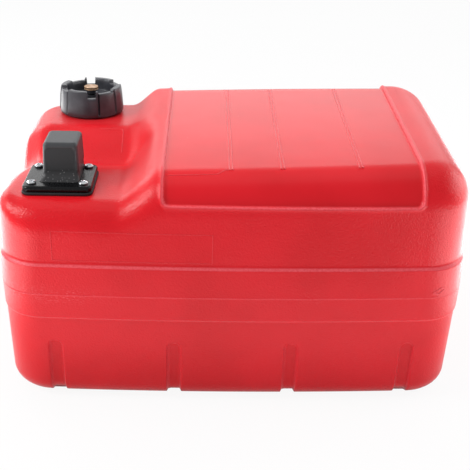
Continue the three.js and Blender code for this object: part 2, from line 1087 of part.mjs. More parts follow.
// Depths behind the rear face, towards the inside of the hood.
const sealFront = hood.wall / Math.cos(rearLean) + clearance;
const glassFront = sealFront + glass.sealThickness + clearance;

function windowSeal() {
  const { width, height, sealBand, sealThickness } = glass;
  return cut(
    prism(roundedShape(width, height, sealBand), sealFront, sealFront + sealThickness),
    prism(
      roundedShape(width - 2 * sealBand, height - 2 * sealBand, sealBand / 2),
      sealFront - overrun,
      sealFront + overrun,
    ),
  );
}

const meterWindow = () =>
  prism(
    roundedShape(glass.width, glass.height, glass.sealBand),
    glassFront,
    glassFront + glass.thickness,
  );

const dialFront = gauge.postEnd + clearance;

function dialPlate() {
  const height = dial.top - hoodFoot;
  const plain = solid(
    geometryOf(
      prism(roundedShape(dial.width, height, hood.corner / 2), 0, dial.thickness),
    ),
    laidBack(pivotX, dialFront, hoodFoot + height / 2),
  );
  const hole = (radius, x, z) =>
    solid(
      geometryOf(rod(radius, -overrun, overrun, round)),
      laidBack(x, dialFront, z),
    );
  const barrel = connector.radius + 2 * clearance;
  const foot = box(
    pickup.x - barrel,
    pickup.x + barrel,
    dialFront - overrun,
    dialFront + overrun,
    hoodFoot - overrun,
    connector.height,
  );
  return cut(
    plain,
    hole(dial.hole, pivotX, gauge.pivotHeight),
    hole(barrel, pickup.x, connector.height),
    foot,
    hole(connector.pinHeadRadius, connector.pinX, connector.height),
  );
}

// Float gauge. A crank points away from the float arm, at the same radius top and bottom.

const crankAngle = restAngle + 2 * quarterTurn;
const crankPin = [
  pivotX + gauge.crankRadius * Math.cos(crankAngle),
  gauge.crankRadius * Math.sin(crankAngle),
];
const floatPivot = gauge.pivotHeight - gauge.linkLength;
const linkEnd = gauge.linkY + gauge.eyeThickness;

function bar(from, to, width, y0, y1) {
  const length = Math.hypot(to[0] - from[0], to[1] - from[1]);
  const angle = Math.atan2(to[1] - from[1], to[0] - from[0]);
  return placed(
    box(0, length, y0, y1, -width / 2, width / 2),
    moved(from[0], 0, from[1]).multiply(
      new THREE.Matrix4().makeRotationY(-angle),
    ),
  );
}

const rodAlongY = (radius, x, z, y0, y1, sides = coarse) =>
  solid(geometryOf(rod(radius, 0, y1 - y0, sides)), laidBack(x, y0, z));

function gaugePointer() {
  const { pivotHeight, spindleRadius, crankThickness, pointerThickness } = gauge;
  const crankStart = linkEnd + clearance;
  const crankEnd = crankStart + crankThickness;
  const pointerStart = dialFront + dial.thickness + gauge.pointerGap;
  const pointerEnd = pointerStart + pointerThickness;
  const pointerAngle = restAngle + quarterTurn;
  const along = (length) => [
    pivotX + length * Math.cos(pointerAngle),
    pivotHeight + length * Math.sin(pointerAngle),
  ];
  const pin = [crankPin[0], pivotHeight + crankPin[1]];
  return join(
    rodAlongY(spindleRadius, pivotX, pivotHeight, crankStart, pointerEnd),
    rodAlongY(gauge.crankBossRadius, pivotX, pivotHeight, crankStart, crankEnd),
    bar([pivotX, pivotHeight], pin, gauge.eyeRadius, crankStart, crankEnd),
    rodAlongY(gauge.eyeRadius / 2, ...pin, crankStart, crankEnd),
    rodAlongY(gauge.crankPinRadius, ...pin, gauge.linkY, crankEnd),
    bar(
      along(-gauge.pointerTail),
      along(gauge.pointerLength),
      gauge.pointerWidth,
      pointerStart,
      pointerEnd,
    ),
    rodAlongY(gauge.pointerTail / 2, pivotX, pivotHeight, pointerStart, pointerEnd),
  );
}

function gaugeLink() {
  const { eyeRadius, eyeThickness, crankPinRadius, linkRadius, linkY } = gauge;
  const [x, z] = crankPin;
  const top = gauge.pivotHeight + z;
  const bottom = floatPivot + z;
  const eyes = [top, bottom].map((height) =>
    rodAlongY(eyeRadius, x, height, linkY, linkY + eyeThickness),
  );
  const holes = [top, bottom].map((height) =>
    rodAlongY(
      crankPinRadius + bearingPlay,
      x,
      height,
      linkY - overrun,
      linkY + overrun,
    ),
  );
  const shank = placed(
    rod(linkRadius, bottom + eyeRadius * 0.8, top - eyeRadius * 0.8, 8),
    moved(x, linkY + eyeThickness / 2, 0),
  );
  return cut(join(shank, ...eyes), ...holes);
}

function gaugeBracket() {
  const { width, thickness, back, below, footLength } = bracket;
  const front = back - thickness;
  const top = plateFoot - clearance;
  const bottom = floatPivot - below;
  return cut(
    join(
      box(pivotX - width / 2, pivotX + width / 2, front, back, bottom, top),
      box(
        pivotX - width / 2,
        pivotX + width / 2,
        back - footLength,
        front,
        top - thickness,
        top,
      ),
    ),
    rodAlongY(
      arm.pinRadius + bearingPlay,
      pivotX,
      floatPivot,
      front - overrun,
      back + overrun,
    ),
  );
}

const hubStart = bracket.back + clearance;
const hubEnd = hubStart + arm.hubThickness;

function armPin() {
  const head = bracket.back - bracket.thickness - clearance;
  return join(
    rodAlongY(
      arm.pinHeadRadius,
      pivotX,
      floatPivot,
      head - arm.pinHead,
      head,
    ),
    rodAlongY(arm.pinRadius, pivotX, floatPivot, head - arm.pinHead / 2, hubEnd),
  );
}

function armHub() {
  const pin = [crankPin[0], floatPivot + crankPin[1]];
  return cut(
    join(
      rodAlongY(arm.hubRadius, pivotX, floatPivot, hubStart, hubEnd, round),
      rodAlongY(gauge.eyeRadius, ...pin, hubStart, hubEnd),
      rodAlongY(gauge.crankPinRadius, ...pin, hubEnd - clearance, linkEnd),
    ),
    rodAlongY(
      arm.pinRadius + bearingPlay,
      pivotX,
      floatPivot,
      hubStart - overrun,
      hubEnd + overrun,
    ),
    wireBody(arm.wireRadius + bearingPlay),
  );
}

// The wire ends inside the hub and inside the float.
const wireStart = arm.pinRadius + bearingPlay + arm.wireRadius;

function wireBody(radius) {
  const along = (length) =>
    new THREE.Vector3(
      pivotX + length * Math.cos(restAngle),
      (hubStart + hubEnd) / 2,
      floatPivot + length * Math.sin(restAngle),
    );
  const grow = radius - arm.wireRadius;
  const line = new THREE.LineCurve3(
    along(wireStart - grow),
    along(arm.wireLength + grow),
  );
  return tube(line, radius, 1, 4);
}

const floatMiddle = [
  pivotX + arm.wireLength * Math.cos(restAngle),
  floatPivot + arm.wireLength * Math.sin(restAngle),
];

function gaugeFloat() {
  const { floatRadius, floatLength, floatRound } = arm;
  const half = floatLength / 2;
  const body = lathe(
    [
      [0, -half],
      [floatRadius - floatRound, -half],
      [floatRadius, floatRound - half],
      [floatRadius, half - floatRound],
      [floatRadius - floatRound, half],
      [0, half],
    ],
    round,
  );
  return placed(
    body,
    laidBack(floatMiddle[0], (hubStart + hubEnd) / 2, floatMiddle[1]),
  ).subtract(wireBody(arm.wireRadius + bearingPlay));
}

// Pickup

const pickupFoot = pickup.top - pickup.length;
const pickupPlace = moved(pickup.x, pickup.y, 0);

const pickupTube = () =>
  placed(pipe(pickup.radius, pickup.bore, pickupFoot, pickup.top), pickupPlace);

function pickupStrainer() {
  const { strainerRadius, strainerLength, strainerBelow, radius, bore } = pickup;
  const bottom = pickupFoot - strainerBelow;
  const top = bottom + strainerLength;
  const body = lathe(
    [
      [0, bottom],
      [strainerRadius, bottom],
      [strainerRadius, top],
      [radius + clearance, top],
      [radius + clearance, pickupFoot - clearance],
      [bore, pickupFoot - clearance],
      [bore, bottom + strainerBelow / 2],
      [0, bottom + strainerBelow / 2],
    ],
    round,
  );
  const ribs = Array.from({ length: strainerRibs }, (_, i) =>
    placed(
      box(
        strainerRadius - pickup.strainerRibDepth,
        strainerRadius + overrun,
        -pickup.strainerRibDepth,
        pickup.strainerRibDepth,
        bottom + strainerBelow / 3,
        top - strainerBelow / 3,
      ),
      turnedAboutZ((i / strainerRibs) * 4 * quarterTurn),
    ),
  );
  return placed(cut(body, ...ribs), pickupPlace);
}

// Connector, along +Y from inside the hood

const nippleStart = connector.back;
const nippleEnd = connector.reach;
const seat = nippleEnd - connector.lip;

function connectorBody() {
  const { radius, bore, boreStart, springSeat, passage, orifice } = connector;
  const { grooveFromTip, grooveWidth, grooveRadius, tipChamfer } = connector;
  const groove = nippleEnd - grooveFromTip;
  const barrel = lathe(
    [
      [0, nippleStart],
      [radius, nippleStart],
      [radius, groove],
      [grooveRadius, groove],
      [grooveRadius, groove + grooveWidth],
      [radius, groove + grooveWidth],
      [radius, nippleEnd - tipChamfer],
      [radius - tipChamfer, nippleEnd],
      [orifice, nippleEnd],
      [orifice, seat],
      [bore, seat],
      [bore, springSeat],
      [passage, springSeat],
      [passage, boreStart],
      [0, boreStart],
    ],
    round,
  );
  const spigot = placed(
    rod(
      pickup.spigotRadius,
      pickup.top - pickup.spigotBelow,
      connector.height,
      round,
    ),
    pickupPlace,
  );
  const spigotBore = placed(
    rod(
      pickup.spigotBore,
      pickup.top - pickup.spigotBelow - overrun,
      connector.height,
    ),
    pickupPlace,
  );
  const laid = laidBack(pickup.x, 0, connector.height);
  const passageBore = solid(
    geometryOf(rod(passage, boreStart, springSeat)),
    laid,
  );
  return cut(
    join(placed(barrel, laid), spigot),
    spigotBore,
    passageBore,
  );
}

function guidePin() {
  const { pinRadius, pinReach, pinHeadRadius, pinHead, pinTip } = connector;
  const head = hood.back - hood.notchDepth - hood.wall - clearance;
  const body = lathe([
    [0, head - pinHead],
    [pinHeadRadius, head - pinHead],
    [pinHeadRadius, head],
    [pinRadius, head],
    [pinRadius, pinReach - pinTip],
    [pinRadius - pinTip, pinReach],
    [0, pinReach],
  ]);
  return placed(body, laidBack(connector.pinX, 0, connector.height));
}

const valveHead = seat - clearance;
const valveBack = valveHead - valve.headLength;

function connectorValve() {
  const { headRadius, stemRadius, stemBeyond, tailRadius, tailLength } = valve;
  const tip = seat + stemBeyond;
  const body = lathe([
    [0, valveBack - tailLength],
    [tailRadius, valveBack - tailLength],
    [tailRadius, valveBack],
    [headRadius, valveBack],
    [headRadius, valveHead],
    [stemRadius, valveHead],
    [stemRadius, tip],
    [0, tip],
  ]);
  return placed(body, laidBack(pickup.x, 0, connector.height));
}

// The spring is drawn pressed, so that the valve can travel.
function valveSpring() {
  const { springWire, springRadius, travel } = valve;
  const start = connector.springSeat + clearance + springWire;
  const end = valveBack - travel - clearance - springWire;
  const steps = springTurns * 8;
  const points = Array.from({ length: steps + 1 }, (_, i) => {
    const angle = i * (quarterTurn / 2);
    return new THREE.Vector3(
      springRadius * Math.cos(angle),
      springRadius * Math.sin(angle),
      lerp(start, end, i / steps),
    );
  });
  const curve = new THREE.CatmullRomCurve3(points);
  return placed(
    tube(curve, springWire, steps, 2),
    laidBack(pickup.x, 0, connector.height),
  );
}

const connectorRing = () => {
  const { grooveFromTip, grooveWidth, grooveRadius, ringSection } = connector;
  const centre = nippleEnd - grooveFromTip + grooveWidth / 2;
  return placed(
    ringSeal(grooveRadius + clearance + ringSection, ringSection),
    laidBack(pickup.x, centre, connector.height),
  );
};

// Assembly

const paint = (color, roughness, metalness = 0) =>
  new THREE.MeshStandardMaterial({ color, roughness, metalness });
const redPlastic = paint(0xcf1f2c, 0.5);
const blackPlastic = paint(0x2a2b2d, 0.55);
const blackRubber = paint(0x1b1b1c, 0.85);
const brass = paint(0xc9a45c, 0.3, 1);
const steel = paint(0xc4c6c8, 0.3, 1);
const zinc = paint(0xa9adb0, 0.4, 1);
const clearPlastic = paint(0xdfe6e8, 0.1);
const whiteEnamel = paint(0xf1efe8, 0.5);
const orangeEnamel = paint(0xd9481c, 0.5);
const paleFloat = paint(0x3a3a3c, 0.7);
const palePlastic = paint(0xe6e2d6, 0.5);

const part = new THREE.Group();
const capGroup = new THREE.Group();
const gaugeGroup = new THREE.Group();
const rearGroup = new THREE.Group();
capFrame.decompose(capGroup.position, capGroup.quaternion, capGroup.scale);
gaugeFrame.decompose(gaugeGroup.position, gaugeGroup.quaternion, gaugeGroup.scale);
rearFrame.decompose(rearGroup.position, rearGroup.quaternion, rearGroup.scale);
part.add(capGroup, gaugeGroup);
gaugeGroup.add(rearGroup);

function add(group, name, body, material) {
  const mesh = new THREE.Mesh(geometryOf(body), material);
  mesh.name = name;
  group.add(mesh);
  return mesh;
}

add(part, "tank_body", tankBody(), redPlastic);

add(capGroup, "filler_cap", capBody(), blackPlastic);
add(
  capGroup,
  "cap_gasket",
  pipe(seal.capOuter, seal.capInner, gasketTop - seal.capThickness, gasketTop, fine),
  blackRubber,
);
add(
  capGroup,
  "cap_liner",
  pipe(
    seal.linerRadius,
    vent.barrelRadius + clearance,
    linerBottom,
    linerBottom + seal.linerThickness,
    fine,
  ),
  palePlastic,
);
add(
  capGroup,
  "vent_bush",
  lathe([
    [vent.bore, bushFoot - vent.barrelBelow],
    [vent.barrelRadius, bushFoot - vent.barrelBelow],
    [vent.barrelRadius, bushFoot],
    [vent.flangeRadius, bushFoot],
    [vent.flangeRadius, bushTop],
    [vent.bore, bushTop],
  ]),
  brass,
);
add(
  capGroup,
  "vent_seal",
  placed(
    ringSeal(vent.sealRadius, vent.sealSection),
    moved(0, 0, sealBottom + vent.sealSection),
  ),
  blackRubber,
);
add(capGroup, "vent_screw", ventScrew(), brass);

add(gaugeGroup, "meter_gasket", meterGasket(), blackRubber);
add(gaugeGroup, "meter_flange", meterFlange(), blackPlastic);
add(gaugeGroup, "meter_hood", meterHood(), blackPlastic);
add(rearGroup, "window_seal", windowSeal(), blackRubber);
add(rearGroup, "meter_window", meterWindow(), clearPlastic);
add(gaugeGroup, "dial_plate", dialPlate(), whiteEnamel);
add(gaugeGroup, "gauge_pointer", gaugePointer(), orangeEnamel);
add(gaugeGroup, "gauge_link", gaugeLink(), steel);
add(gaugeGroup, "gauge_bracket", gaugeBracket(), zinc);
add(gaugeGroup, "arm_pin", armPin(), steel);
add(gaugeGroup, "arm_hub", armHub(), palePlastic);
add(gaugeGroup, "float_arm", wireBody(arm.wireRadius), steel);
add(gaugeGroup, "gauge_float", gaugeFloat(), paleFloat);
add(gaugeGroup, "pickup_tube", pickupTube(), palePlastic);
add(gaugeGroup, "pickup_strainer", pickupStrainer(), palePlastic);
add(gaugeGroup, "connector_body", connectorBody(), brass);
add(gaugeGroup, "connector_guide_pin", guidePin(), steel);
add(gaugeGroup, "connector_valve", connectorValve(), brass);
add(gaugeGroup, "valve_spring", valveSpring(), steel);
add(gaugeGroup, "connector_oring", connectorRing(), blackRubber);

screwPlaces.forEach(([x, y], i) => {
  const mesh = add(gaugeGroup, `flange_screw_${i + 1}`, flangeScrew(), steel);
  mesh.position.set(x, y, plateTop + clearance);
});

export default part;
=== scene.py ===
# %% [markdown]
# # An outboard fuel tank, dressed for its picture
# A red blow-moulded tank stands on a pale floor. At its left end sit a slotted black filler
# cap with a brass vent knob, and a gauge under a black hood on a screwed plate. The packed
# CAD model comes in as a fixed frame. Pieces whose shape is right keep their mesh and get a
# better finish; the shell, the cap and the gauge's housing are drawn again with more detail.

# %% Open the packed frame
import json
import math

import bmesh
import bpy
import numpy as np
from mathutils import Matrix

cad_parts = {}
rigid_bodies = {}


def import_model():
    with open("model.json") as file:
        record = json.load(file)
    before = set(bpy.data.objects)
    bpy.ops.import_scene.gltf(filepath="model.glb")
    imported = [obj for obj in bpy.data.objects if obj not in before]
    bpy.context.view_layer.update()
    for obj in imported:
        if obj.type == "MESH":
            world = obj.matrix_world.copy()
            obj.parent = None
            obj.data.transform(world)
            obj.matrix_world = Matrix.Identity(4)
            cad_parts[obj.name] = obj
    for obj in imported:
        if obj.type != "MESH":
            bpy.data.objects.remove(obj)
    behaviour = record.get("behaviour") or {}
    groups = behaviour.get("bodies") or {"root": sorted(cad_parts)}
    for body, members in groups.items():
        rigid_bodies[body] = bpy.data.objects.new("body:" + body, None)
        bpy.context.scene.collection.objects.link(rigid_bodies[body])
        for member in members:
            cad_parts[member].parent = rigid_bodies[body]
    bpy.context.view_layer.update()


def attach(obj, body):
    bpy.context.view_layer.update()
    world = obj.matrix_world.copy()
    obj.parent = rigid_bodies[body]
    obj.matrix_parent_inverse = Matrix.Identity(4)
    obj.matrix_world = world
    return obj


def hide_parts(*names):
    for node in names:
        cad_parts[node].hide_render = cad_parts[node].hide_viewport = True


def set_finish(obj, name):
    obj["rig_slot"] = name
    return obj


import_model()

# %% [markdown]
# ## Camera
# The photograph looks down at the long front from a little to the left. The place and the
# three angles were solved from corners of the shell, so that the model falls on the same
# pixels. Columns of the turning matrix are the picture's right, its up and its backwards.

# %% Place the camera
LENS, SENSOR_WIDTH = 71.95, 36.0  # mm
CAMERA_PLACE = (-0.03060, -0.95495, 0.61681)  # m
PITCH_DOWN, YAW_RIGHT, ROLL = np.radians([27.496, 2.145, 1.687])


def camera_axes(pitch, yaw, roll):
    """Right, up and backward directions of a camera turned by yaw, tipped down by pitch, rolled."""
    forward = np.array(
        [
            math.sin(yaw) * math.cos(pitch),
            math.cos(yaw) * math.cos(pitch),
            -math.sin(pitch),
        ]
    )
    level = np.array([math.cos(yaw), -math.sin(yaw), 0.0])
    upright = np.cross(level, forward)
    right = math.cos(roll) * level + math.sin(roll) * upright
    up = math.cos(roll) * upright - math.sin(roll) * level
    return right, up, -forward


camera = bpy.data.objects.new("camera", bpy.data.cameras.new("camera"))
bpy.context.scene.collection.objects.link(camera)
camera.data.lens, camera.data.sensor_width = LENS, SENSOR_WIDTH
placing = np.eye(4)
placing[:3, :3] = np.stack(camera_axes(PITCH_DOWN, YAW_RIGHT, ROLL), axis=1)
placing[:3, 3] = CAMERA_PLACE
camera.matrix_world = Matrix(placing.tolist())
bpy.context.scene.camera = camera
print("camera at", [round(v, 3) for v in camera.matrix_world.translation])

# %% [markdown]
# ## From arrays to meshes
# Every new piece is a set of surfaces worked out as arrays of points in millimetres. A
# surface is a grid: rows run along it and columns run round it. Faces wind so that they
# point outwards when columns run counter-clockwise and rows run upwards.

# %% Grids and surfaces
MM = 0.001
TURN = 2 * math.pi
WELD = 0.004  # mm


def grid_faces(rows, columns):
    """Faces between neighbours: cell (j, i) joins (j, i), (j, i+1), (j+1, i+1), (j+1, i)."""
    j, i = np.meshgrid(np.arange(rows - 1), np.arange(columns), indexing="ij")
    a, b = j * columns + i, j * columns + (i + 1) % columns
    return np.stack([a, b, b + columns, a + columns], axis=-1).reshape(-1, 4)


def gather(*surfaces):
    """Several (points, faces) surfaces as one, the later faces renumbered past earlier points."""
    starts = np.cumsum([0] + [len(points) for points, _ in surfaces[:-1]])
    return (
        np.concatenate([points for points, _ in surfaces]),
        np.concatenate([faces + start for (_, faces), start in zip(surfaces, starts)]),
    )


def as_surface(grid):
    """A (rows, columns, 3) grid, closed round its columns, as a list of points and its faces."""
    rows, columns, _ = grid.shape
    return grid.reshape(-1, 3), grid_faces(rows, columns)


print("two rows of four columns, closed round, have", len(grid_faces(2, 4)), "faces")

# %% [markdown]
# ## From a surface to a piece
# Doubled points at poles and seams are welded, and edges sharper than a given angle stay
# crisp. Each piece says which body it rides on, which slot of the record it takes and which
# CAD nodes it stands for. Numbers for the finish can be stored at its points.

# %% Make a piece
def make_piece(name, surface, body, slot, stands_for=(), crisp=38.0, **marks):
    """A welded mesh, smooth up to crisp degrees; each of marks becomes an attribute of points."""
    points, faces = surface
    mesh = bpy.data.meshes.new(name)
    mesh.from_pydata((points * MM).tolist(), [], faces.tolist())
    for mark, values in marks.items():
        layer = mesh.attributes.new(mark, "FLOAT", "POINT")
        values = np.broadcast_to(np.float32(values).ravel(), (len(points),))
        layer.data.foreach_set("value", np.ascontiguousarray(values))
    work = bmesh.new()
    work.from_mesh(mesh)
    bmesh.ops.remove_doubles(work, verts=work.verts, dist=WELD * MM)
    work.to_mesh(mesh)
    work.free()
    mesh.shade_smooth()
    mesh.set_sharp_from_angle(angle=math.radians(crisp))
    piece = bpy.data.objects.new(name, mesh)
    bpy.context.scene.collection.objects.link(piece)
    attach(piece, body)
    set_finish(piece, slot)
    if stands_for:
        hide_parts(*stands_for)
    print(f"{name}: {len(mesh.polygons)} faces")
    return piece


# %% [markdown]
# ## Seats on the sloping top
# The tank's top leans back a little, and the gauge and the cap stand square on it. Both are
# drawn in a frame of their own, with Z along their axis, and then turned about X by the
# slope and moved to their seat. Pieces that lie along Y are drawn upright and laid back.

# %% Frames of the gauge and of the cap
DECK_TILT = math.radians(3.2)
GAUGE_SEAT = np.array([-175.3, -84.5, 220.0])
CAP_SEAT = np.array([-163.4, 94.6, 232.4])


def tilted(points):
    """Turns points about X by the slope of the top."""
    x, y, z = np.moveaxis(points, -1, 0)
    c, s = math.cos(DECK_TILT), math.sin(DECK_TILT)
    return np.stack([x, y * c + z * s, z * c - y * s], axis=-1)


def seated(surface, seat):
    """A (points, faces) surface tilted with the top, its origin moved to the seat."""
    return tilted(surface[0]) + seat, surface[1]


def laid_back(surface, x, y, z):
    """An upright surface turned so that its Z runs along Y, then moved to (x, y, z)."""
    px, py, pz = np.moveaxis(surface[0], -1, 0)
    return np.stack([px + x, pz + y, z - py], axis=-1), surface[1]


CAP_AXIS = tilted(np.array([0.0, 0.0, 1.0]))
print("the cap's axis points along", np.round(CAP_AXIS, 4).tolist())

# %% [markdown]
# ## Rounded profiles and turned pieces
# Caps, knobs, screws and hose fittings are turned shapes. Their profile is a list of radius
# and height pairs. A moulded or machined corner is never quite sharp, so each corner is
# replaced by a short curve before the profile is carried round the axis.

# %% Turning helpers
def eased(profile, radius, steps=3):
    """Cuts each inner corner back by radius, at most 45% of a side, and bridges it by a curve."""
    p = np.asarray(profile, float)
    before, after = p[1:-1] - p[:-2], p[2:] - p[1:-1]
    long_before = np.linalg.norm(before, axis=1, keepdims=True)
    long_after = np.linalg.norm(after, axis=1, keepdims=True)
    start = p[1:-1] - before / long_before * np.minimum(radius, 0.45 * long_before)
    end = p[1:-1] + after / long_after * np.minimum(radius, 0.45 * long_after)
    t = np.linspace(0, 1, steps + 1)[None, :, None]
    bends = (1 - t) ** 2 * start[:, None] + 2 * t * (1 - t) * p[1:-1, None] + t**2 * end[:, None]
    return np.concatenate([p[:1], bends.reshape(-1, 2), p[-1:]])


def turned(profile, sides, swell=None):
    """Radius and height pairs carried round Z; swell(angle, radius, height) may scale radii."""
    r, z = np.asarray(profile, float).T
    angle = np.arange(sides) / sides * TURN
    radius = r[:, None] * np.ones(sides)
    if swell is not None:
        radius = radius * swell(angle[None, :], r[:, None], z[:, None])
    grid = np.stack(
        [radius * np.cos(angle), radius * np.sin(angle), z[:, None] * np.ones(sides)],
        axis=-1,
    )
    return as_surface(grid)


def turned_loop(profile, sides):
    """A turned ring: the profile closes on itself, so its first pair is repeated at the end."""
    loop = np.concatenate([profile, np.asarray(profile)[:1]])
    return turned(loop, sides)


SQUARE_CORNER = [[0, 0], [1, 0], [1, 1]]
print("an eased square corner has", len(eased(SQUARE_CORNER, 0.2)) - 2, "points")

# %% [markdown]
# ## Ramps and humps
# Moulded shapes blend into one another. Three small formulas do all of that here: a straight
# blend, a ramp that starts and ends level, and a hump that fades away on both sides.

# %% Formulas that blend
def unit(v):
    """Vectors scaled to length one."""
    return v / np.maximum(np.linalg.norm(v, axis=-1, keepdims=True), 1e-9)


def blend_of(a, b, share):
    """a at share 0, b at share 1, straight in between."""
    return a + (b - a) * share


def smooth_ramp(x, low, high):
    """0 up to low, 1 from high on, and 3t^2 - 2t^3 in between; low may be the larger."""
    t = np.clip((x - low) / (high - low), 0, 1)
    return t * t * (3 - 2 * t)


def hump(x, centre, reach):
    """1 at the centre, 0.37 at reach from it and hardly anything at twice the reach."""
    return np.exp(-(((x - centre) / reach) ** 2))


print("ramp and hump half way", smooth_ramp(0.5, 0, 1), round(hump(0.5, 0, 1), 3))

# %% [markdown]
# ## The shell: its walls
# A blow-moulded tank is one skin of about 4 mm. Its plan is a rounded rectangle whose long
# sides bow inwards towards the ends. The walls lean with the mould's draft, and a belt round
# the middle stands 3 mm proud where the two mould halves meet. Each level of the wall is a
# ring with its own length, width, corner and bow. The same numbers shape the CAD solid.

# %% Rings of the wall
HALF_LENGTH, HALF_WIDTH = 235.5, 159.5
BELT_BOTTOM, PARTING, BELT_TOP = 102.0, 131.0, 162.0
BELT_STEP, END_STEP, BELT_CHAMFER, BELT_LEAN = 3.4, 1.2, 2.4, 0.6
SIDE_DRAFTS, END_DRAFTS = (3.6, 2.5), (0.2, 0.6)  # degrees, below and above the belt
FOOT_CORNER, BELT_CORNER, UPPER_CORNER = 45.0, 40.0, 42.0
FOOT_BOW, BELT_BOW = 6.0, 7.4
SOFT_REACH, SOFT_SAMPLES = 0.55, 7


def wall_level(z):
    """Half length, half width, corner radius and bow of the plain wall at height z."""
    lower = z < (BELT_BOTTOM + BELT_TOP) / 2
    run = np.where(lower, BELT_BOTTOM - z, z - BELT_TOP)
    side_draft, end_draft = np.where(lower, *SIDE_DRAFTS), np.where(lower, *END_DRAFTS)
    share = z / BELT_BOTTOM
    return (
        HALF_LENGTH - END_STEP - np.tan(np.radians(end_draft)) * run,
        HALF_WIDTH - BELT_STEP - np.tan(np.radians(side_draft)) * run,
        np.where(lower, blend_of(FOOT_CORNER, BELT_CORNER, share), UPPER_CORNER),
        np.where(lower, blend_of(FOOT_BOW, BELT_BOW, share), BELT_BOW),
    )


def belted_level(z):
    """The wall with its belt: straight slopes join the plain wall and the proud belt."""
    lean = BELT_LEAN * np.where(
        z < PARTING,
        (PARTING - z) / (PARTING - BELT_BOTTOM - BELT_CHAMFER),
        (z - PARTING) / (BELT_TOP - PARTING),
    )
    belt = (HALF_LENGTH - lean, HALF_WIDTH - lean, BELT_CORNER + 0 * z, BELT_BOW + 0 * z)
    at_foot = np.clip((z - BELT_BOTTOM) / BELT_CHAMFER, 0, 1)
    at_head = np.clip((BELT_TOP + BELT_CHAMFER - z) / BELT_CHAMFER, 0, 1)
    share = np.minimum(at_foot, at_head)
    return tuple(blend_of(a, b, share) for a, b in zip(wall_level(z), belt))


def soft_level(z):
    """The belted wall averaged over a little height, which rounds the belt's corners."""
    offsets = np.linspace(-SOFT_REACH, SOFT_REACH, SOFT_SAMPLES)
    parts = [belted_level(z + offset) for offset in offsets]
    return tuple(sum(values) / len(parts) for values in zip(*parts))


for height in (BELT_BOTTOM, PARTING, BELT_TOP):
    print("half width", round(float(soft_level(np.array(height))[1]), 2), "at height", height)

# %% [markdown]
# ## The shell: its columns
# The grid's columns run round the tank. Along the front and the back each column keeps a
# fixed x, crowded where the flutes and the top's recess have their edges.

# %% Columns along the long sides
SIDE_LIMIT = 190.5  # |x| up to which columns keep a fixed x
EVEN_COLUMNS = 112
CORNER_FROM, CORNER_PITCH = 171.0, 1.3  # where columns crowd towards the ends
CLEAR_OF_EDGE, CLOSEST = 0.9, 0.35  # least spacing beside a feature's edge, and anywhere
RECESS_LEFT, RECESS_RIGHT, RECESS_LIP = -70.2, 180.1, 228.0
FLUTE_PITCH, FLUTE_HALF, FLUTE_TOP, FLUTE_DEPTH = 120.8, 7.1, 73.5, 3.4
FLUTE_CENTRES = FLUTE_PITCH * np.array([-1.5, -0.5, 0.5, 1.5])


def long_side_columns():
    """Fixed x values: an even spacing, finer at the ends and at every edge that a feature has."""
    even = np.linspace(-SIDE_LIMIT, SIDE_LIMIT, EVEN_COLUMNS)
    corner = np.arange(CORNER_FROM, SIDE_LIMIT, CORNER_PITCH)
    recess_edges = np.add.outer(
        [RECESS_LEFT, RECESS_RIGHT], [-2.6, -1.7, -0.9, -0.2, 0.4, 1.0, 1.7]
    )
    flute_edges = np.add.outer(
        np.concatenate([FLUTE_CENTRES - FLUTE_HALF, FLUTE_CENTRES + FLUTE_HALF]),
        [-1.4, -0.6, 0.1, 0.8],
    )
    wanted = np.concatenate([flute_edges.ravel(), recess_edges.ravel()])
    filler = np.concatenate([even, corner, -corner])
    apart = np.abs(filler[:, None] - wanted[None, :]).min(axis=1) > CLEAR_OF_EDGE
    ends = np.abs(filler) > SIDE_LIMIT - 1e-6
    x = np.unique(np.round(np.concatenate([wanted, filler[apart | ends]]), 3))
    x = x[np.abs(x) <= SIDE_LIMIT]
    return x[np.concatenate([[True], np.diff(x) > CLOSEST])]


side_x = long_side_columns()
print(len(side_x), "columns along each long side")

# %% [markdown]
# ## The shell: its ends
# Round each end the columns fan out from one point on the middle line. Their angles space
# them evenly along the upper wall's ring, so that no face gets long and thin.

# %% Columns round the ends
FAN_COLUMNS = 60


def fan_ring(angle, hx, hy, r):
    """Where rays from (SIDE_LIMIT, 0) meet a rounded rectangle: its side, corner or long wall."""
    c, s = np.cos(angle), np.sin(angle)
    cx, cy = hx - r, hy - r
    to_side = (hx - SIDE_LIMIT) / np.maximum(c, 1e-6)
    to_wall = hy / np.maximum(np.abs(s), 1e-6)
    ox, oy = SIDE_LIMIT - cx, -np.sign(s) * cy
    along = c * ox + s * oy
    to_arc = -along + np.sqrt(np.maximum(along**2 - ox**2 - oy**2 + r**2, 0))
    on_side = np.abs(to_side * s) <= cy
    on_wall = SIDE_LIMIT + to_wall * c <= cx
    reach = np.where(on_side, to_side, np.where(on_wall, to_wall, to_arc))
    x, y = SIDE_LIMIT + reach * c, reach * s
    nx = np.where(on_side, 1.0, np.where(on_wall, 0.0, (x - cx) / r))
    ny = np.where(on_side, 0.0, np.where(on_wall, np.sign(s), (y - np.sign(s) * cy) / r))
    return x, y, nx, ny


def even_fan():
    """Angles whose rays cut the upper wall's ring at even steps of its length."""
    hx, hy, r, _ = wall_level(np.array(BELT_TOP))
    dense = np.linspace(-math.pi / 2, math.pi / 2, 4001)
    x, y, _, _ = fan_ring(dense, hx, hy, r)
    run = np.concatenate([[0], np.cumsum(np.hypot(np.diff(x), np.diff(y)))])
    return np.interp(np.linspace(0, run[-1], FAN_COLUMNS + 2)[1:-1], run, dense)


fan_angles = even_fan()
print("fan steps from", *np.round(np.degrees(np.diff(fan_angles)[[0, 30]]), 2), "degrees")

# %% [markdown]
# ## The shell: one ring
# A ring holds the front's columns, the right end's, the back's and the left end's, in this
# order. On each long side the distance past the corner's start gives the normal, and the
# bow pulls the wall inwards with the square of the distance from the middle.

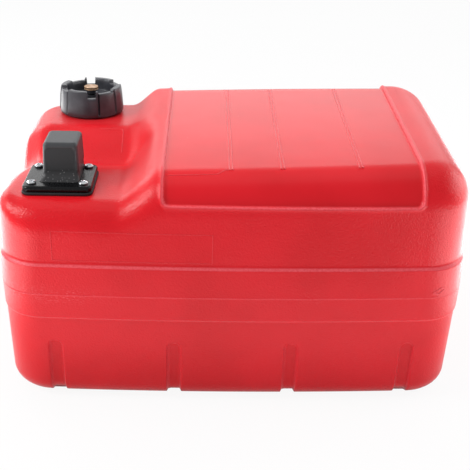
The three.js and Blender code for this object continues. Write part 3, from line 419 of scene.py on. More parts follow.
# %% Put a ring together
COLUMNS = 2 * (len(side_x) + FAN_COLUMNS)
front = slice(0, len(side_x))
right = slice(len(side_x), len(side_x) + FAN_COLUMNS)
back = slice(len(side_x) + FAN_COLUMNS, 2 * len(side_x) + FAN_COLUMNS)
left = slice(COLUMNS - FAN_COLUMNS, COLUMNS)


def ring(level, inset=0.0):
    """All columns of one level: x, y and the outward normal, moved inwards by inset, bowed."""
    hx, hy, r, bow = (np.broadcast_to(value, (COLUMNS,)).astype(float) for value in level)
    x, y, nx, ny = (np.zeros(COLUMNS) for _ in range(4))
    for part, side, order in ((front, -1.0, 1), (back, 1.0, -1)):
        fixed = side_x[::order]
        over = np.clip(np.abs(fixed) - (hx - r)[part], 0, None)
        over = np.minimum(over, r[part] * 0.999)
        x[part], nx[part] = fixed, np.sign(fixed) * over / r[part]
        ny[part] = side * np.sqrt(1 - nx[part] ** 2)
        y[part] = side * (hy - r)[part] + ny[part] * r[part]
    for part, sign, angles in ((right, 1.0, fan_angles), (left, -1.0, fan_angles[::-1])):
        fx, fy, fnx, fny = fan_ring(angles, hx[part], hy[part], r[part])
        x[part], y[part], nx[part], ny[part] = sign * fx, fy, sign * fnx, fny
    x, y = x - nx * inset, y - ny * inset
    bowed = y * (1 - bow / (hy - inset) * (x / (hx - inset)) ** 2)
    return x, bowed, nx, ny


print(COLUMNS, "columns in all; the widest ring spans", np.ptp(ring(belted_level(131.0))[1]), "mm")

# %% [markdown]
# ## The shell: its top
# The top is a height over the plan. A low shelf carries the gauge, a higher seat carries the
# cap, a shallow valley lies between them, and an S-shaped step climbs to the main deck, which
# rises slightly to the right. Round its edge the top turns down with a radius that differs
# from side to side.

# %% Height of the top and radius of its edge
STEP_FOOT, STEP_HEAD_FRONT, STEP_HEAD_BACK = -118.5, -70.0, -86.0
DECK_HEIGHT, DECK_RISE = 255.0, 7.9
TIP_FROM, TIP_RUN, TIP_SLOPE = -212.0, 17.0, 0.1  # the shelf tips more at its left end
BANK_FOOT_AT_STEP, BANK_FOOT_AT_END, BANK_HEAD = -20.0, 8.0, 45.0
VALLEY_Y, VALLEY_REACH, VALLEY_DEPTH = -14.0, 18.0, 5.0
FRONT_RADII = (28.0, 38.0)  # before the shelf, and before the deck
LEFT_RADII, LEFT_CHANGE = (14.0, 33.0), (-60.0, 5.0)  # beside shelf and cap, and y between them
BACK_RADIUS, RIGHT_RADIUS = 36.0, 40.0


def climb(x, y):
    """Share of the step climbed at (x, y): its head runs nearer the cap at the back."""
    across = (y + HALF_WIDTH) / (2 * HALF_WIDTH)
    return smooth_ramp(x, STEP_FOOT, blend_of(STEP_HEAD_FRONT, STEP_HEAD_BACK, across))


def top_height(x, y):
    """Shelf, bank, cap seat and valley at the left, and the rising deck past the step."""
    slope = math.tan(DECK_TILT)
    tip = smooth_ramp(TIP_FROM - x, 0.0, TIP_RUN)
    shelf = GAUGE_SEAT[2] - (slope + tip * TIP_SLOPE) * (y - GAUGE_SEAT[1])
    cap_seat = CAP_SEAT[2] - slope * (y - CAP_SEAT[1])
    leftness = np.clip((x - STEP_FOOT) / (-HALF_LENGTH - STEP_FOOT), 0, 1)
    bank = smooth_ramp(y, blend_of(BANK_FOOT_AT_STEP, BANK_FOOT_AT_END, leftness), BANK_HEAD)
    valley = VALLEY_DEPTH * hump(y, VALLEY_Y, VALLEY_REACH)
    low = blend_of(shelf, cap_seat, bank) - valley
    return blend_of(low, DECK_HEIGHT + DECK_RISE * x / HALF_LENGTH, climb(x, y))


def edge_radius(x, y, nx, ny):
    """Radius of the top's edge, blended by the direction in which the wall faces."""
    across = np.where(ny < 0, blend_of(*FRONT_RADII, climb(x, y)), BACK_RADIUS)
    left = blend_of(*LEFT_RADII, smooth_ramp(y, *LEFT_CHANGE))
    along = np.where(nx > 0, RIGHT_RADIUS, left)
    return ny**2 * across + nx**2 * along


for name, place in {"gauge": GAUGE_SEAT, "cap": CAP_SEAT, "deck": (0.0, 0.0)}.items():
    print("top's height at the", name, round(float(top_height(place[0], place[1])), 1), "mm")

# %% [markdown]
# ## The shell: rows of the foot and the walls
# Rows start at the raised pan underneath, pass the flat band that the tank stands on, and
# climb the foot's fillet, the walls and the belt. They lie closer wherever the shape bends.

# %% Rows up to the belt
FOOT_FILLET, FOOT_BAND, PAN_EDGE, PAN_RISE = 21.0, 14.0, 4.0, 3.5
SPINE_SHARE = 0.85  # length of the pan's middle line as a share of the foot's
PAN_SHARES = (0, 0.35, 0.7, 0.92, 1)
LAST_WALL_ROW = BELT_TOP + 5.0


def foot_rows():
    """Pan, flat band and the quarter-round fillet from the band up to the wall."""
    ground = wall_level(np.array(0.0))
    ones = np.ones(COLUMNS)
    pan_x, pan_y, _, _ = ring(ground, FOOT_FILLET + FOOT_BAND + PAN_EDGE)
    spine = SPINE_SHARE * np.clip(ring(ground)[0], -SIDE_LIMIT, SIDE_LIMIT)
    rows = [
        np.stack([blend_of(spine, pan_x, share), pan_y * share, PAN_RISE * ones], axis=-1)
        for share in PAN_SHARES
    ]
    for band in (FOOT_BAND, 9.0, 4.0):
        x, y, _, _ = ring(ground, FOOT_FILLET + band)
        rows.append(np.stack([x, y, 0 * ones], axis=-1))
    for angle in np.linspace(math.pi / 2, 0, 13):
        z = FOOT_FILLET * (1 - math.sin(angle))
        x, y, _, _ = ring(wall_level(np.array(z)), FOOT_FILLET * (1 - math.cos(angle)))
        rows.append(np.stack([x, y, z * ones], axis=-1))
    return rows


def wall_rows():
    """Rows up the lower wall and the belt, closer at the flutes' heads and at each corner."""
    heights = np.concatenate(
        [
            np.linspace(25, 57, 8),
            np.linspace(60, 76, 13),
            np.linspace(80, 98, 5),
            BELT_BOTTOM + np.array([-1.6, -0.8, 0, 0.8, 1.6, 2.4, 3.2, 4.4]),
            np.linspace(111, 126, 4),
            PARTING + np.array([-2, -0.9, -0.4, 0, 0.4, 0.9, 2]),
            np.linspace(138, 156, 4),
            BELT_TOP + np.array([-2.4, -1.2, -0.7, -0.4, -0.1, 0.2, 0.5, 0.8, 1.1, 1.5, 3]),
            [LAST_WALL_ROW],
        ]
    )
    rows = []
    for z in heights:
        x, y, _, _ = ring(soft_level(z))
        rows.append(np.stack([x, y, z * np.ones(COLUMNS)], axis=-1))
    return rows


print(len(foot_rows()), "rows in the foot and", len(wall_rows()), "up the walls and the belt")

# %% [markdown]
# ## The shell: rows over the edge and the top
# Above the belt the rows turn over the edge and close along a line in the middle of the top.
# Some rows are gathered at the height of the recess's lip, so that the lip stays sharp.

# %% Rows over the top, and the undisturbed grid
def edge_rows():
    """The upper wall, the turn over the edge and the top, closing on the middle line."""
    wx, wy, wnx, wny = ring(wall_level(np.array(BELT_TOP)))
    radius = edge_radius(wx, wy, wnx, wny)
    crown = top_height(wx, wy)
    rows = []
    for share in np.linspace(0, 1, 11)[1:-1]:
        z = blend_of(LAST_WALL_ROW, crown - radius, share)
        x, y, _, _ = ring(wall_level(z))
        rows.append(np.stack([x, y, z], axis=-1))
    lip = np.arcsin(np.clip(1 - (crown - RECESS_LIP) / radius, 0.12, 0.8))
    near = np.radians([-4.5, -2.8, -1.6, -0.6, 0.3, 1.2, 2.3, 4.0])
    below = [lip * share for share in (0, 0.3, 0.6)]
    around = [lip + offset for offset in near]
    past = [
        blend_of(lip + near[-1], math.pi / 2, share) for share in np.linspace(0, 1, 15)[1:]
    ]
    for angle in [*below, *around, *past]:
        fall = radius * (1 - np.sin(angle))
        x, y, nx, ny = ring(wall_level(crown - fall))
        inwards = radius * (1 - np.cos(angle))
        x, y = x - nx * inwards, y - ny * inwards
        rows.append(np.stack([x, y, top_height(x, y) - fall], axis=-1))
    x, y = rows[-1][:, 0], rows[-1][:, 1]
    crest = np.clip(wx, -SIDE_LIMIT, SIDE_LIMIT)
    for share in np.linspace(0, 1, 54)[1:]:
        px, py = blend_of(x, crest, share), y * (1 - share)
        rows.append(np.stack([px, py, top_height(px, py)], axis=-1))
    return rows


plain_skin = np.stack(foot_rows() + wall_rows() + edge_rows())
print("shell grid", plain_skin.shape, "tallest point", round(plain_skin[..., 2].max(), 1))

# %% [markdown]
# ## The shell: what the mould pressed into it
# The deck has a shallow, wide recess with a smooth floor and a bead round its rim. Four
# flutes run up each long wall from the floor. The mould halves leave a thin flash along the
# parting line, rough where it was trimmed. Each of these is a depth along the skin's own
# normal, faded over a millimetre or two, so edges come out rounded as in a real moulding.

# %% Depths of the recess, the flutes and the parting line
RECESS_DEPTH, RECESS_CORNER, RECESS_FADE = 2.8, 6.0, (-0.35, 1.0)
TOP_FROM = 200.0  # the recess and its rim lie above this height
RIM_BEAD, RIM_BEAD_AWAY, RIM_BEAD_REACH = 1.2, 1.7, 1.25
FLUTE_FADE, FLUTE_FOOT = (-0.7, 1.4), (129.5, 134.5)  # over its edge, and |y| under the tank
FLASH_RISE, FLASH_REACH = 0.32, 0.42
TRIM_X, TRIM_REACH, TRIM_RISE = -172.0, 42.0, 0.22  # the roughly trimmed stretch


def skin_normals(grid):
    """Cross product of the steps round and up the grid; straight up or down at the two ends."""
    around = np.roll(grid, -1, axis=1) - np.roll(grid, 1, axis=1)
    upwards = np.gradient(grid, axis=0)
    normal = unit(np.cross(around, upwards))
    normal[0], normal[-1] = (0, 0, -1), (0, 0, 1)
    return normal


def recess_distance(x, z):
    """Distance outside a rounded rectangle in the x-z plane, open at the top; inside negative."""
    qx = np.maximum(RECESS_LEFT - x, x - RECESS_RIGHT) + RECESS_CORNER
    qz = RECESS_LIP - z + RECESS_CORNER
    outside = np.hypot(np.maximum(qx, 0), np.maximum(qz, 0))
    return outside + np.minimum(np.maximum(qx, qz), 0) - RECESS_CORNER


def flute_share(x, y, z):
    """1 inside an upright flute with a half-round head, 0 outside, faded over its edge."""
    off = np.abs(x[..., None] - FLUTE_CENTRES).min(axis=-1)
    above = np.maximum(z - (FLUTE_TOP - FLUTE_HALF), 0)
    inside = smooth_ramp(FLUTE_HALF - np.hypot(off, above), *FLUTE_FADE)
    return inside * smooth_ramp(np.abs(y), *FLUTE_FOOT)


def flash_height(x, y, z):
    """A thin ridge on the parting line; slow waves and a rough stretch at the left vary it."""
    wave = FLASH_RISE + 0.08 * np.sin(x * 0.11) + 0.05 * np.sin(x * 0.37 + y * 0.2)
    rough = hump(x, TRIM_X, TRIM_REACH) * (y < 0)
    wave = wave + rough * TRIM_RISE * np.abs(np.sin(x * 0.83) * np.sin(x * 0.29 + 1))
    return wave * hump(z, PARTING, FLASH_REACH)


x, y, z = np.moveaxis(plain_skin, -1, 0)
away = recess_distance(x, z)
in_recess = smooth_ramp(-away, *RECESS_FADE)
rim_bead = RIM_BEAD * hump(away, RIM_BEAD_AWAY, RIM_BEAD_REACH) * (z > TOP_FROM)
in_flute = flute_share(x, y, z)
depth = RECESS_DEPTH * in_recess - rim_bead + FLUTE_DEPTH * in_flute - flash_height(x, y, z)
skin_grid = plain_skin - skin_normals(plain_skin) * depth[..., None]
print("deepest press", round(depth.max(), 2), "mm")

# %% [markdown]
# ## The shell: its painted edge highlights
# A pale pink highlight is painted where light would catch the edges: the belt's head and foot,
# the parting line, the recess's rim and the sides of the flutes. Each has a share at every
# point, and the largest of them is kept for the finish to use.

# %% Mark the painted edge highlights
BELT_HEAD_RISE, BELT_HEAD_FALL = (-0.6, 0.6), (3.0, 1.6)  # from the belt's top
FOOT_WEIGHT, PARTING_WEIGHT, RIM_WEIGHT, FLUTE_WEIGHT = 0.5, 0.6, 0.9, 1.6

head_rise = smooth_ramp(z - BELT_TOP, *BELT_HEAD_RISE)
head_fall = smooth_ramp(z - BELT_TOP, *BELT_HEAD_FALL)
painted_highlights = [
    head_rise * head_fall,
    FOOT_WEIGHT * hump(z, BELT_BOTTOM + 0.8, 1.1),
    PARTING_WEIGHT * hump(z, PARTING, 0.5),
    RIM_WEIGHT * hump(away, 0.6, 1.3) * (z > TOP_FROM),
    FLUTE_WEIGHT * in_flute * (1 - in_flute),
]
edge_bloom = np.max(painted_highlights, axis=0)
print("paler than half on", int((edge_bloom > 0.5).sum()), "of", edge_bloom.size, "points")

# %% [markdown]
# ## The shell: the filler neck's hole
# The neck is a ring moulded into the top. Inside its wall the skin is pulled down into a
# well, so that nothing crosses the bore. Grid points close to the circle are first pushed
# on to it, just inside or just outside, which gives the hole a clean edge.

# %% Open the well and make the shell
WELL_RADIUS, WELL_DROP, BELOW_SEAT = 26.0, 80.0, 12.0
BAND_IN, BAND_OUT, BAND_GAP = 4.6, 1.6, 0.1  # what moves to the edge, and how far beside it


def with_well(grid):
    """Points within the well drop along the cap's axis; a band beside its edge moves to it."""
    away = grid - CAP_SEAT
    rise = away @ CAP_AXIS
    flat = away - rise[..., None] * CAP_AXIS
    radius = np.linalg.norm(flat, axis=-1)
    close = rise > -BELOW_SEAT
    inside = close & (radius < WELL_RADIUS)
    band_in = inside & (radius > WELL_RADIUS - BAND_IN)
    band_out = close & ~inside & (radius < WELL_RADIUS + BAND_OUT)
    target = np.where(band_out, WELL_RADIUS + BAND_GAP, radius)
    target = np.where(band_in, WELL_RADIUS - BAND_GAP, target)
    scale = target / np.maximum(radius, 1e-6)
    moved = CAP_SEAT + flat * scale[..., None] + rise[..., None] * CAP_AXIS
    return moved - np.where(inside, WELL_DROP, 0)[..., None] * CAP_AXIS


# The shell's marks: its smooth recess field and its painted edge highlights.
make_piece(
    "tank_shell",
    as_surface(with_well(skin_grid)),
    "tank",
    "tank_red",
    ("tank_body",),
    crisp=60,
    smooth_area=in_recess * (z > TOP_FROM),
    edge_bloom=edge_bloom,
)

# %% [markdown]
# ## The filler neck
# Under the cap the neck stands up from its seat with a coarse thread. It is turned in one
# piece: up the outside, over a rounded lip and down the bore to a closed bottom, deep enough
# to look dark. The thread is a rounded bar carried along a helix.

# %% Turn the neck and wind its thread
NECK_RADIUS, NECK_BORE, NECK_HEIGHT, BORE_DEPTH = 28.0, 24.0, 11.8, 60.0
THREAD_FOOT, THREAD_PITCH, THREAD_TURNS, THREAD_BAR = 2.6, 5.0, 1.25, 0.95


def bar_along(path, radius, sides, up=(0.0, 0.0, 1.0)):
    """A round bar: each path point gets a ring across the path, and the ends shrink to points."""
    path = np.asarray(path, float)
    along = unit(np.gradient(path, axis=0))
    side = unit(np.cross(along, np.broadcast_to(up, path.shape)))
    top = np.cross(side, along)
    angle = np.arange(sides) / sides * TURN
    size = np.broadcast_to(radius, (len(path),))[:, None, None]
    around = side[:, None] * np.cos(angle)[:, None] - top[:, None] * np.sin(angle)[:, None]
    rings = path[:, None] + size * around
    ends = np.repeat(path[[0, -1]][:, None], sides, axis=1)
    return as_surface(np.concatenate([ends[:1], rings, ends[1:]]))


def neck_thread():
    """A bar along a helix on the neck, thinner towards both of its ends."""
    turns = np.linspace(0, THREAD_TURNS, 91)
    angle = turns * TURN
    run = 1 - (2 * np.abs(turns / THREAD_TURNS - 0.5)) ** 8
    height = THREAD_FOOT + THREAD_PITCH * turns
    path = [NECK_RADIUS * np.cos(angle), NECK_RADIUS * np.sin(angle), height]
    return bar_along(np.stack(path, axis=-1), THREAD_BAR * np.maximum(run, 0.1), sides=8)


neck_profile = eased(
    [
        [NECK_RADIUS + 1.5, -3.0],
        [NECK_RADIUS + 0.4, 0.6],
        [NECK_RADIUS, 2.0],
        [NECK_RADIUS, NECK_HEIGHT],
        [NECK_BORE, NECK_HEIGHT],
        [NECK_BORE, -BORE_DEPTH],
        [0.0, -BORE_DEPTH],
    ],
    0.7,
)
neck = gather(turned(neck_profile, 96), neck_thread())
make_piece("filler_neck", seated(neck, CAP_SEAT), "tank", "tank_red", ("tank_body",))

# %% [markdown]
# ## Raised lines: how they follow the skin
# Thin raised lines cross the deck and frame a plain field low on the front's upper wall. Each
# is a bar half sunk in the skin. On the deck its height comes from the top's own formula, and
# on the front its points are read off the shell's grid, so that it follows every turn.

# %% Lines on the skin
FRONT_ROWS_FROM = len(foot_rows()) + len(wall_rows()) - 12  # a little below the belt's head
AXIS_Y, AXIS_Z = 1, 2


def on_front(x, value, axis):
    """Points of the front skin in column x where the coordinate `axis` has the given value."""
    x, value = np.broadcast_arrays(np.asarray(x, float), np.asarray(value, float))
    column = np.clip(np.searchsorted(side_x, x) - 1, 0, len(side_x) - 2)
    share = ((x - side_x[column]) / (side_x[column + 1] - side_x[column]))[:, None]
    strip = skin_grid[FRONT_ROWS_FROM:, front]
    lines = strip[:, column] * (1 - share) + strip[:, column + 1] * share
    keys = lines[..., axis]
    row = np.clip((keys < value).sum(axis=0) - 1, 0, len(keys) - 2)
    pick = np.arange(len(x))
    low, high = keys[row, pick], keys[row + 1, pick]
    part = np.clip((value - low) / np.maximum(high - low, 1e-6), 0, 1)[:, None]
    return lines[row, pick] * (1 - part) + lines[row + 1, pick] * part


def deck_line(x, front_y, back_y, steps=60):
    """A line over the recess floor at constant x, from front_y to back_y."""
    y = np.linspace(front_y, back_y, steps)
    floor = top_height(np.full(steps, float(x)), y) - RECESS_DEPTH
    return np.stack([np.full(steps, float(x)), y, floor], axis=-1)


def skin_line(x, y):
    """A line on the top's skin through the given plan points, beside the recess."""
    return np.stack([x, y, top_height(x, y)], axis=-1)


print("front wall at the belt's head:", np.round(on_front([0.0], BELT_TOP + 3, AXIS_Z), 1).tolist())

# %% [markdown]
# ## Beads on the deck
# Three pairs of beads cross the recess, and each bead ends at the front in a small round foot.
# A finer line runs before them along the deck's front edge, from the recess's left side, and
# bends back at its right end. Another marks the bank before the cap, with a rounded corner.

# %% Lay the beads
RIBS, RIB_GAP, RIB_FRONT, RIB_BACK = (-5.0, 45.5, 121.7), 3.0, -117.5, 118.0
BEAD_BAR, BEAD_FOOT_BAR, EDGE_LINE_BAR, BANK_LINE_BAR = 0.55, 1.05, 0.5, 0.45
BEAD_FOOT_SPAN = (-0.4, 0.75)  # from the recess's floor
EDGE_LINE_Y, EDGE_LINE_BEND, EDGE_LINE_RISE = -124.5, (-20.0, -7.5), 7.5
BANK_LINE_LEFT, BANK_LINE_RIGHT = -148.0, -121.6
BANK_LINE_BACK, BANK_LINE_FRONT = 33.4, 2.0
BEND_X, BEND_Y, BEND_RADIUS = -126.0, 29.4, 4.0

bead_places = [rib + side * RIB_GAP / 2 for rib in RIBS for side in (-1, 1)]
beads = [bar_along(deck_line(at, RIB_FRONT, RIB_BACK), BEAD_BAR, sides=8) for at in bead_places]
for at in bead_places:
    foot = deck_line(at, RIB_FRONT, RIB_FRONT, 2)
    foot[:, 2] += BEAD_FOOT_SPAN
    beads.append(bar_along(foot, BEAD_FOOT_BAR, sides=12, up=(0, 1, 0)))
edge_x = np.concatenate([np.linspace(-66.0, -18.0, 40), np.linspace(-17.0, -8.5, 12)])
edge_y = EDGE_LINE_Y + EDGE_LINE_RISE * smooth_ramp(edge_x, *EDGE_LINE_BEND)
beads.append(bar_along(on_front(edge_x, edge_y, AXIS_Y), EDGE_LINE_BAR, sides=8))
bend = np.linspace(0, math.pi / 2, 9)
bank_x = np.concatenate(
    [
        np.linspace(BANK_LINE_LEFT, BEND_X - 1, 16),
        BEND_X + BEND_RADIUS * np.sin(bend),
        np.full(14, BANK_LINE_RIGHT),
    ]
)
bank_y = np.concatenate(
    [
        np.full(16, BANK_LINE_BACK),
        BEND_Y + BEND_RADIUS * np.cos(bend),
        np.linspace(BEND_Y - 1.4, BANK_LINE_FRONT, 14),
    ]
)
beads.append(bar_along(skin_line(bank_x, bank_y), BANK_LINE_BAR, sides=8))
# The beads carry a painted highlight at half strength.
make_piece("deck_beads", gather(*beads), "tank", "tank_red", ("tank_body",), edge_bloom=0.5)

# %% [markdown]
# ## The pinch-off scar and the frame
# Where the mould closed on the hot tube of plastic, it left a small raised rhombus on the
# belt's right front corner. Its four corners are joined by a thin bar on the belt's surface.
# The frame on the front is four straight bars, laid on the skin like the beads.

# %% Lay the scar and the frame
SCAR_X, SCAR_Z = (199.5, 207.5, 211.5, 205.0), (136.6, 141.6, 139.4, 134.8)
SCAR_LEVEL, SCAR_BAR = 138.5, 0.65
FRAME_X, FRAME_Z, FRAME_BAR = (-178.0, -22.0), (168.5, 199.0), 0.4

front_half = slice(0, FAN_COLUMNS // 2)
belt_x, belt_y, _, _ = ring(belted_level(np.array(SCAR_LEVEL)))
round_scar = np.linspace(0, 4, 33)
scar_x = np.interp(round_scar, range(5), [*SCAR_X, SCAR_X[0]])
scar_z = np.interp(round_scar, range(5), [*SCAR_Z, SCAR_Z[0]])
scar_y = np.interp(scar_x, belt_x[right][front_half], belt_y[right][front_half])
scar_path = np.stack([scar_x, scar_y, scar_z], axis=-1)
scar = bar_along(scar_path, SCAR_BAR, sides=8, up=(0, -1, 0.3))
# The scar carries a strong painted highlight.
make_piece("pinch_scar", scar, "tank", "tank_red", ("tank_body",), edge_bloom=0.8)

level_x, upright_z = np.linspace(*FRAME_X, 90), np.linspace(*FRAME_Z, 24)
frame_places = [(level_x, z) for z in FRAME_Z] + [(x, upright_z) for x in FRAME_X]
frame_lines = [
    bar_along(on_front(x, z, AXIS_Z), FRAME_BAR, sides=6, up=(0, -1, 0)) for x, z in frame_places
]
lines = gather(*frame_lines)
# The frame carries a faint painted highlight.
make_piece("front_frame", lines, "tank", "tank_red", ("tank_body",), edge_bloom=0.25)

# %% [markdown]
# ## The filler cap
# A deep cap with a slotted rim that a bar can turn. Its rim stands in raised and lowered
# pads, two slots cut right through it, and fine grooves run up its side. The surface is a
# profile carried round the axis whose rim height depends on the angle, with columns crowded
# at every change. Profile points move with the rim, so walls stay straight.

# %% Columns and rim of the cap
CAP_FOOT, RIM_TOP, PAD_TOP, SLOT_FLOOR = 0.8, 31.5, 28.9, 23.8
RIM_RADIUS, SLOT_HALF, GROOVE_HALF = 30.5, 4.9, math.radians(1.5)
SLOTS = np.radians([7.0, 187.0])
SLOT_ANGLE = math.asin(SLOT_HALF / RIM_RADIUS)
GROOVES = np.radians([-80, -45, 21, 56, 100, 135, 201, 236])
RAISED = ((-45, 21), (56, 100), (135, 201), (236, 280))


def turn_gap(angle, marks):
    """Smallest turn from each angle to any of the marks."""
    gap = np.abs(np.asarray(angle)[..., None] - marks)
    return np.abs((gap + math.pi) % TURN - math.pi).min(axis=-1)


def cap_columns():
    """Angles round the cap: even, with extra ones beside each slot, pad edge and groove."""
    even = np.linspace(0, TURN, 180, endpoint=False)
    slots = np.add.outer(SLOTS, np.array([-SLOT_ANGLE, SLOT_ANGLE]))
    slots = np.add.outer(slots.ravel(), np.radians([-0.9, -0.35, 0.1, 0.5, 1.0]))
    grooves = np.add.outer(GROOVES, np.radians([-2.0, -1.3, -0.75, 0.75, 1.3, 2.0]))
    wanted = np.concatenate([slots.ravel(), grooves.ravel()]) % TURN
    filler = even[turn_gap(even, wanted) > math.radians(0.6)]
    return np.sort(np.concatenate([wanted, filler]))


def rim_height(angle):
    """Height of the rim: raised or lowered pads, with a rounded step between them."""
    high = np.zeros_like(angle)
    for start, end in RAISED:
        middle, half = math.radians((start + end) / 2), math.radians((end - start) / 2)
        high = np.maximum(high, smooth_ramp(half - turn_gap(angle, [middle]), -0.02, 0.03))
    return blend_of(PAD_TOP, RIM_TOP, high)


print(len(cap_columns()), "columns round the cap")

# %% [markdown]
# ## The cap's profile
# From inside out the profile runs along the underside and down the skirt, round its foot, up
# the tapering side, over the rounded rim and down into the well. A slot has parallel sides,
# so at the end the columns beside it spread: nearer the axis it takes a wider angle.

# %% Side and slots of the cap
WELL_FLOOR, CAP_UNDER, HUB_HOLE, SKIRT_INSIDE = 17.6, 15.1, 4.8, 30.0
WALL_FOOT, RIM_ROUND, GROOVE_DEPTH, LUG_PROUD, SCALLOP = 2.4, 1.1, 1.5, 0.9, 0.45
WALL_RADII = (36.0, 34.6, 33.5)  # at the wall's foot, at the slots' floor and near the rim
LEDGE_RADII, WELL_RADIUS_TOP, WELL_RADIUS_LOW = (31.6, 30.2, 28.9), 27.5, 27.2


def wall_radius(height):
    """Radius of the cap's tapering side."""
    return np.interp(height, [WALL_FOOT, SLOT_FLOOR, RIM_TOP - RIM_ROUND], WALL_RADII)


def spread_slots(angle, radius):
    """Angles of all points, moved beside a slot so that its sides are parallel."""
    offset = (angle[:, None] - SLOTS + math.pi) % TURN - math.pi
    nearest = np.abs(offset).argmin(axis=1)
    offset = offset[np.arange(len(angle)), nearest]
    widen = np.arcsin(np.clip(SLOT_HALF / np.maximum(radius, 20), 0, 1)) / SLOT_ANGLE - 1
    pull = 1 - smooth_ramp(np.abs(offset), SLOT_ANGLE * 1.05, SLOT_ANGLE * 2.4)
    return angle + offset * widen * pull


print("the cap's side leans in by", round(WALL_RADII[0] - WALL_RADII[-1], 1), "mm")

# %% Shape the cap
def cap_grid():
    """Profile times angle: outer wall, rim, well and underside, closed on itself."""
    angle = cap_columns()
    notch = smooth_ramp(SLOT_ANGLE - turn_gap(angle, SLOTS), -0.006, 0.012)
    lug = (rim_height(angle) - PAD_TOP) / (RIM_TOP - PAD_TOP)
    rim = blend_of(rim_height(angle), SLOT_FLOOR, notch)
    groove = smooth_ramp(GROOVE_HALF - turn_gap(angle, GROOVES), -0.004, 0.01)
    rows = []

    def row(radius, height, cut=0.0):
        """One ring; where grooves cut into it, the raised stretches also stand proud."""
        radius = radius - groove * cut + lug * min(np.max(cut), 1) * LUG_PROUD
        rows.append(np.stack(np.broadcast_arrays(radius, height, 0 * angle), axis=-1))

    for radius in (HUB_HOLE, SKIRT_INSIDE - 0.6):
        row(radius, CAP_UNDER)
    row(SKIRT_INSIDE, CAP_UNDER - 0.6)
    row(SKIRT_INSIDE, CAP_FOOT + 0.4)
    for radius, rise in ((30.4, 0), (33.8, 0), (34.5, 0.25), (35.7, 1.1)):
        row(radius, CAP_FOOT + rise)
    for share in (0, 0.04, 0.08, 0.12, 0.4, 0.7, 0.92, 1.0):
        height = blend_of(WALL_FOOT, rim - RIM_ROUND, share)
        row(wall_radius(height), height, cut=GROOVE_DEPTH * smooth_ramp(height, 4.0, 5.2))
    edge = wall_radius(rim - RIM_ROUND)
    for share in (0.3, 0.6, 1.0):
        turn = share * math.pi / 2
        radius = edge - RIM_ROUND * (1 - math.cos(turn))
        row(radius, rim - RIM_ROUND + RIM_ROUND * math.sin(turn), cut=GROOVE_DEPTH - 0.5 * share)
    scallop = SCALLOP * np.cos(angle * 12) * (1 - notch)
    for radius in LEDGE_RADII:
        across = (LEDGE_RADII[0] - radius) / (LEDGE_RADII[0] - LEDGE_RADII[-1])
        row(radius + scallop * across, rim + 0 * angle)
    row(28.1 + scallop, rim - 0.3)
    row(27.6 + scallop, rim - RIM_ROUND)
    for share in (0.25, 0.5, 0.75):
        height = blend_of(rim - RIM_ROUND, WELL_FLOOR + 1.0, share)
        row(WELL_RADIUS_TOP + scallop * (1 - share), height)
    row(WELL_RADIUS_TOP, WELL_FLOOR + 0.9)
    row(WELL_RADIUS_LOW, WELL_FLOOR + 0.25)
    for radius in (26.5, 16, 10, HUB_HOLE):
        row(radius, WELL_FLOOR)
    row(HUB_HOLE, CAP_UNDER)
    radius, height = np.moveaxis(np.stack(rows)[..., [0, 1]], -1, 0)
    turn = spread_slots(angle, radius) - math.pi / 2
    return np.stack([radius * np.cos(turn), radius * np.sin(turn), height], axis=-1)


cap_surface = as_surface(cap_grid())
make_piece(
    "slotted_cap", seated(cap_surface, CAP_SEAT), "cap", "cap_black", ("filler_cap",), 48
)

# %% [markdown]
# ## The vent knob
# In the cap's well a brass knob sits on a black hub, over a short bush. Its side is
# knurled: the radius dips in rounded notches round the middle of its height, and the
# corners are turned smooth.

# %% Turn the knob, its hub and the bush
KNOB_FOOT, KNOB_TOP, KNOB_RADIUS, KNURLS, KNURL_CUT = 26.2, 29.9, 8.0, 32, 0.07
HUB_FOOT, HUB_RADIUS, STEM_FOOT, STEM_RADIUS = 22.5, 6.9, 9.1, 2.3
BUSH_BORE, BUSH_RADIUS, BUSH_FLANGE = 2.7, 4.5, 7.5
BUSH_FOOT, FLANGE_FOOT, BUSH_TOP = 12.7, 17.9, 19.9


def knurl(angle, radius, height):
    """Scales the radius down in rounded notches, only on the straight of the side."""
    wave = 0.5 - 0.5 * np.cos(KNURLS * angle)
    side = smooth_ramp(height, KNOB_FOOT + 0.6, KNOB_FOOT + 1.2)
    side = side * (1 - smooth_ramp(height, KNOB_TOP - 1.3, KNOB_TOP - 0.7))
    return 1 - KNURL_CUT * wave**2 * side * (radius > KNOB_RADIUS - 0.8)


knob_profile = eased(
    [
        [0, KNOB_FOOT],
        [KNOB_RADIUS, KNOB_FOOT],
        [KNOB_RADIUS, KNOB_FOOT + 1.0],
        [KNOB_RADIUS, KNOB_TOP - 1.2],
        [KNOB_RADIUS, KNOB_TOP],
        [5.4, KNOB_TOP],
        [5.0, KNOB_TOP - 0.35],
        [0, KNOB_TOP - 0.35],
    ],
    0.55,
    4,
)
knob = turned(knob_profile, 256, knurl)
make_piece("vent_knob", seated(knob, CAP_SEAT), "vent_knob", "brass", ("vent_screw",))
hub_profile = [
    [0, STEM_FOOT],
    [STEM_RADIUS - 0.4, STEM_FOOT],
    [STEM_RADIUS, STEM_FOOT + 0.5],
    [STEM_RADIUS, HUB_FOOT],
    [HUB_RADIUS, HUB_FOOT],
    [HUB_RADIUS, KNOB_FOOT + 0.2],
    [0, KNOB_FOOT + 0.2],
]
hub = turned(eased(hub_profile, 0.4, 4), 96)
make_piece("vent_hub", seated(hub, CAP_SEAT), "vent_knob", "cap_black", ("vent_screw",))
bush_profile = [
    [BUSH_BORE, BUSH_FOOT],
    [BUSH_RADIUS, BUSH_FOOT],
    [BUSH_RADIUS, FLANGE_FOOT],
    [BUSH_FLANGE, FLANGE_FOOT],
    [BUSH_FLANGE, BUSH_TOP],
    [BUSH_BORE, BUSH_TOP],
]
bush = turned_loop(eased(bush_profile, 0.3), 64)
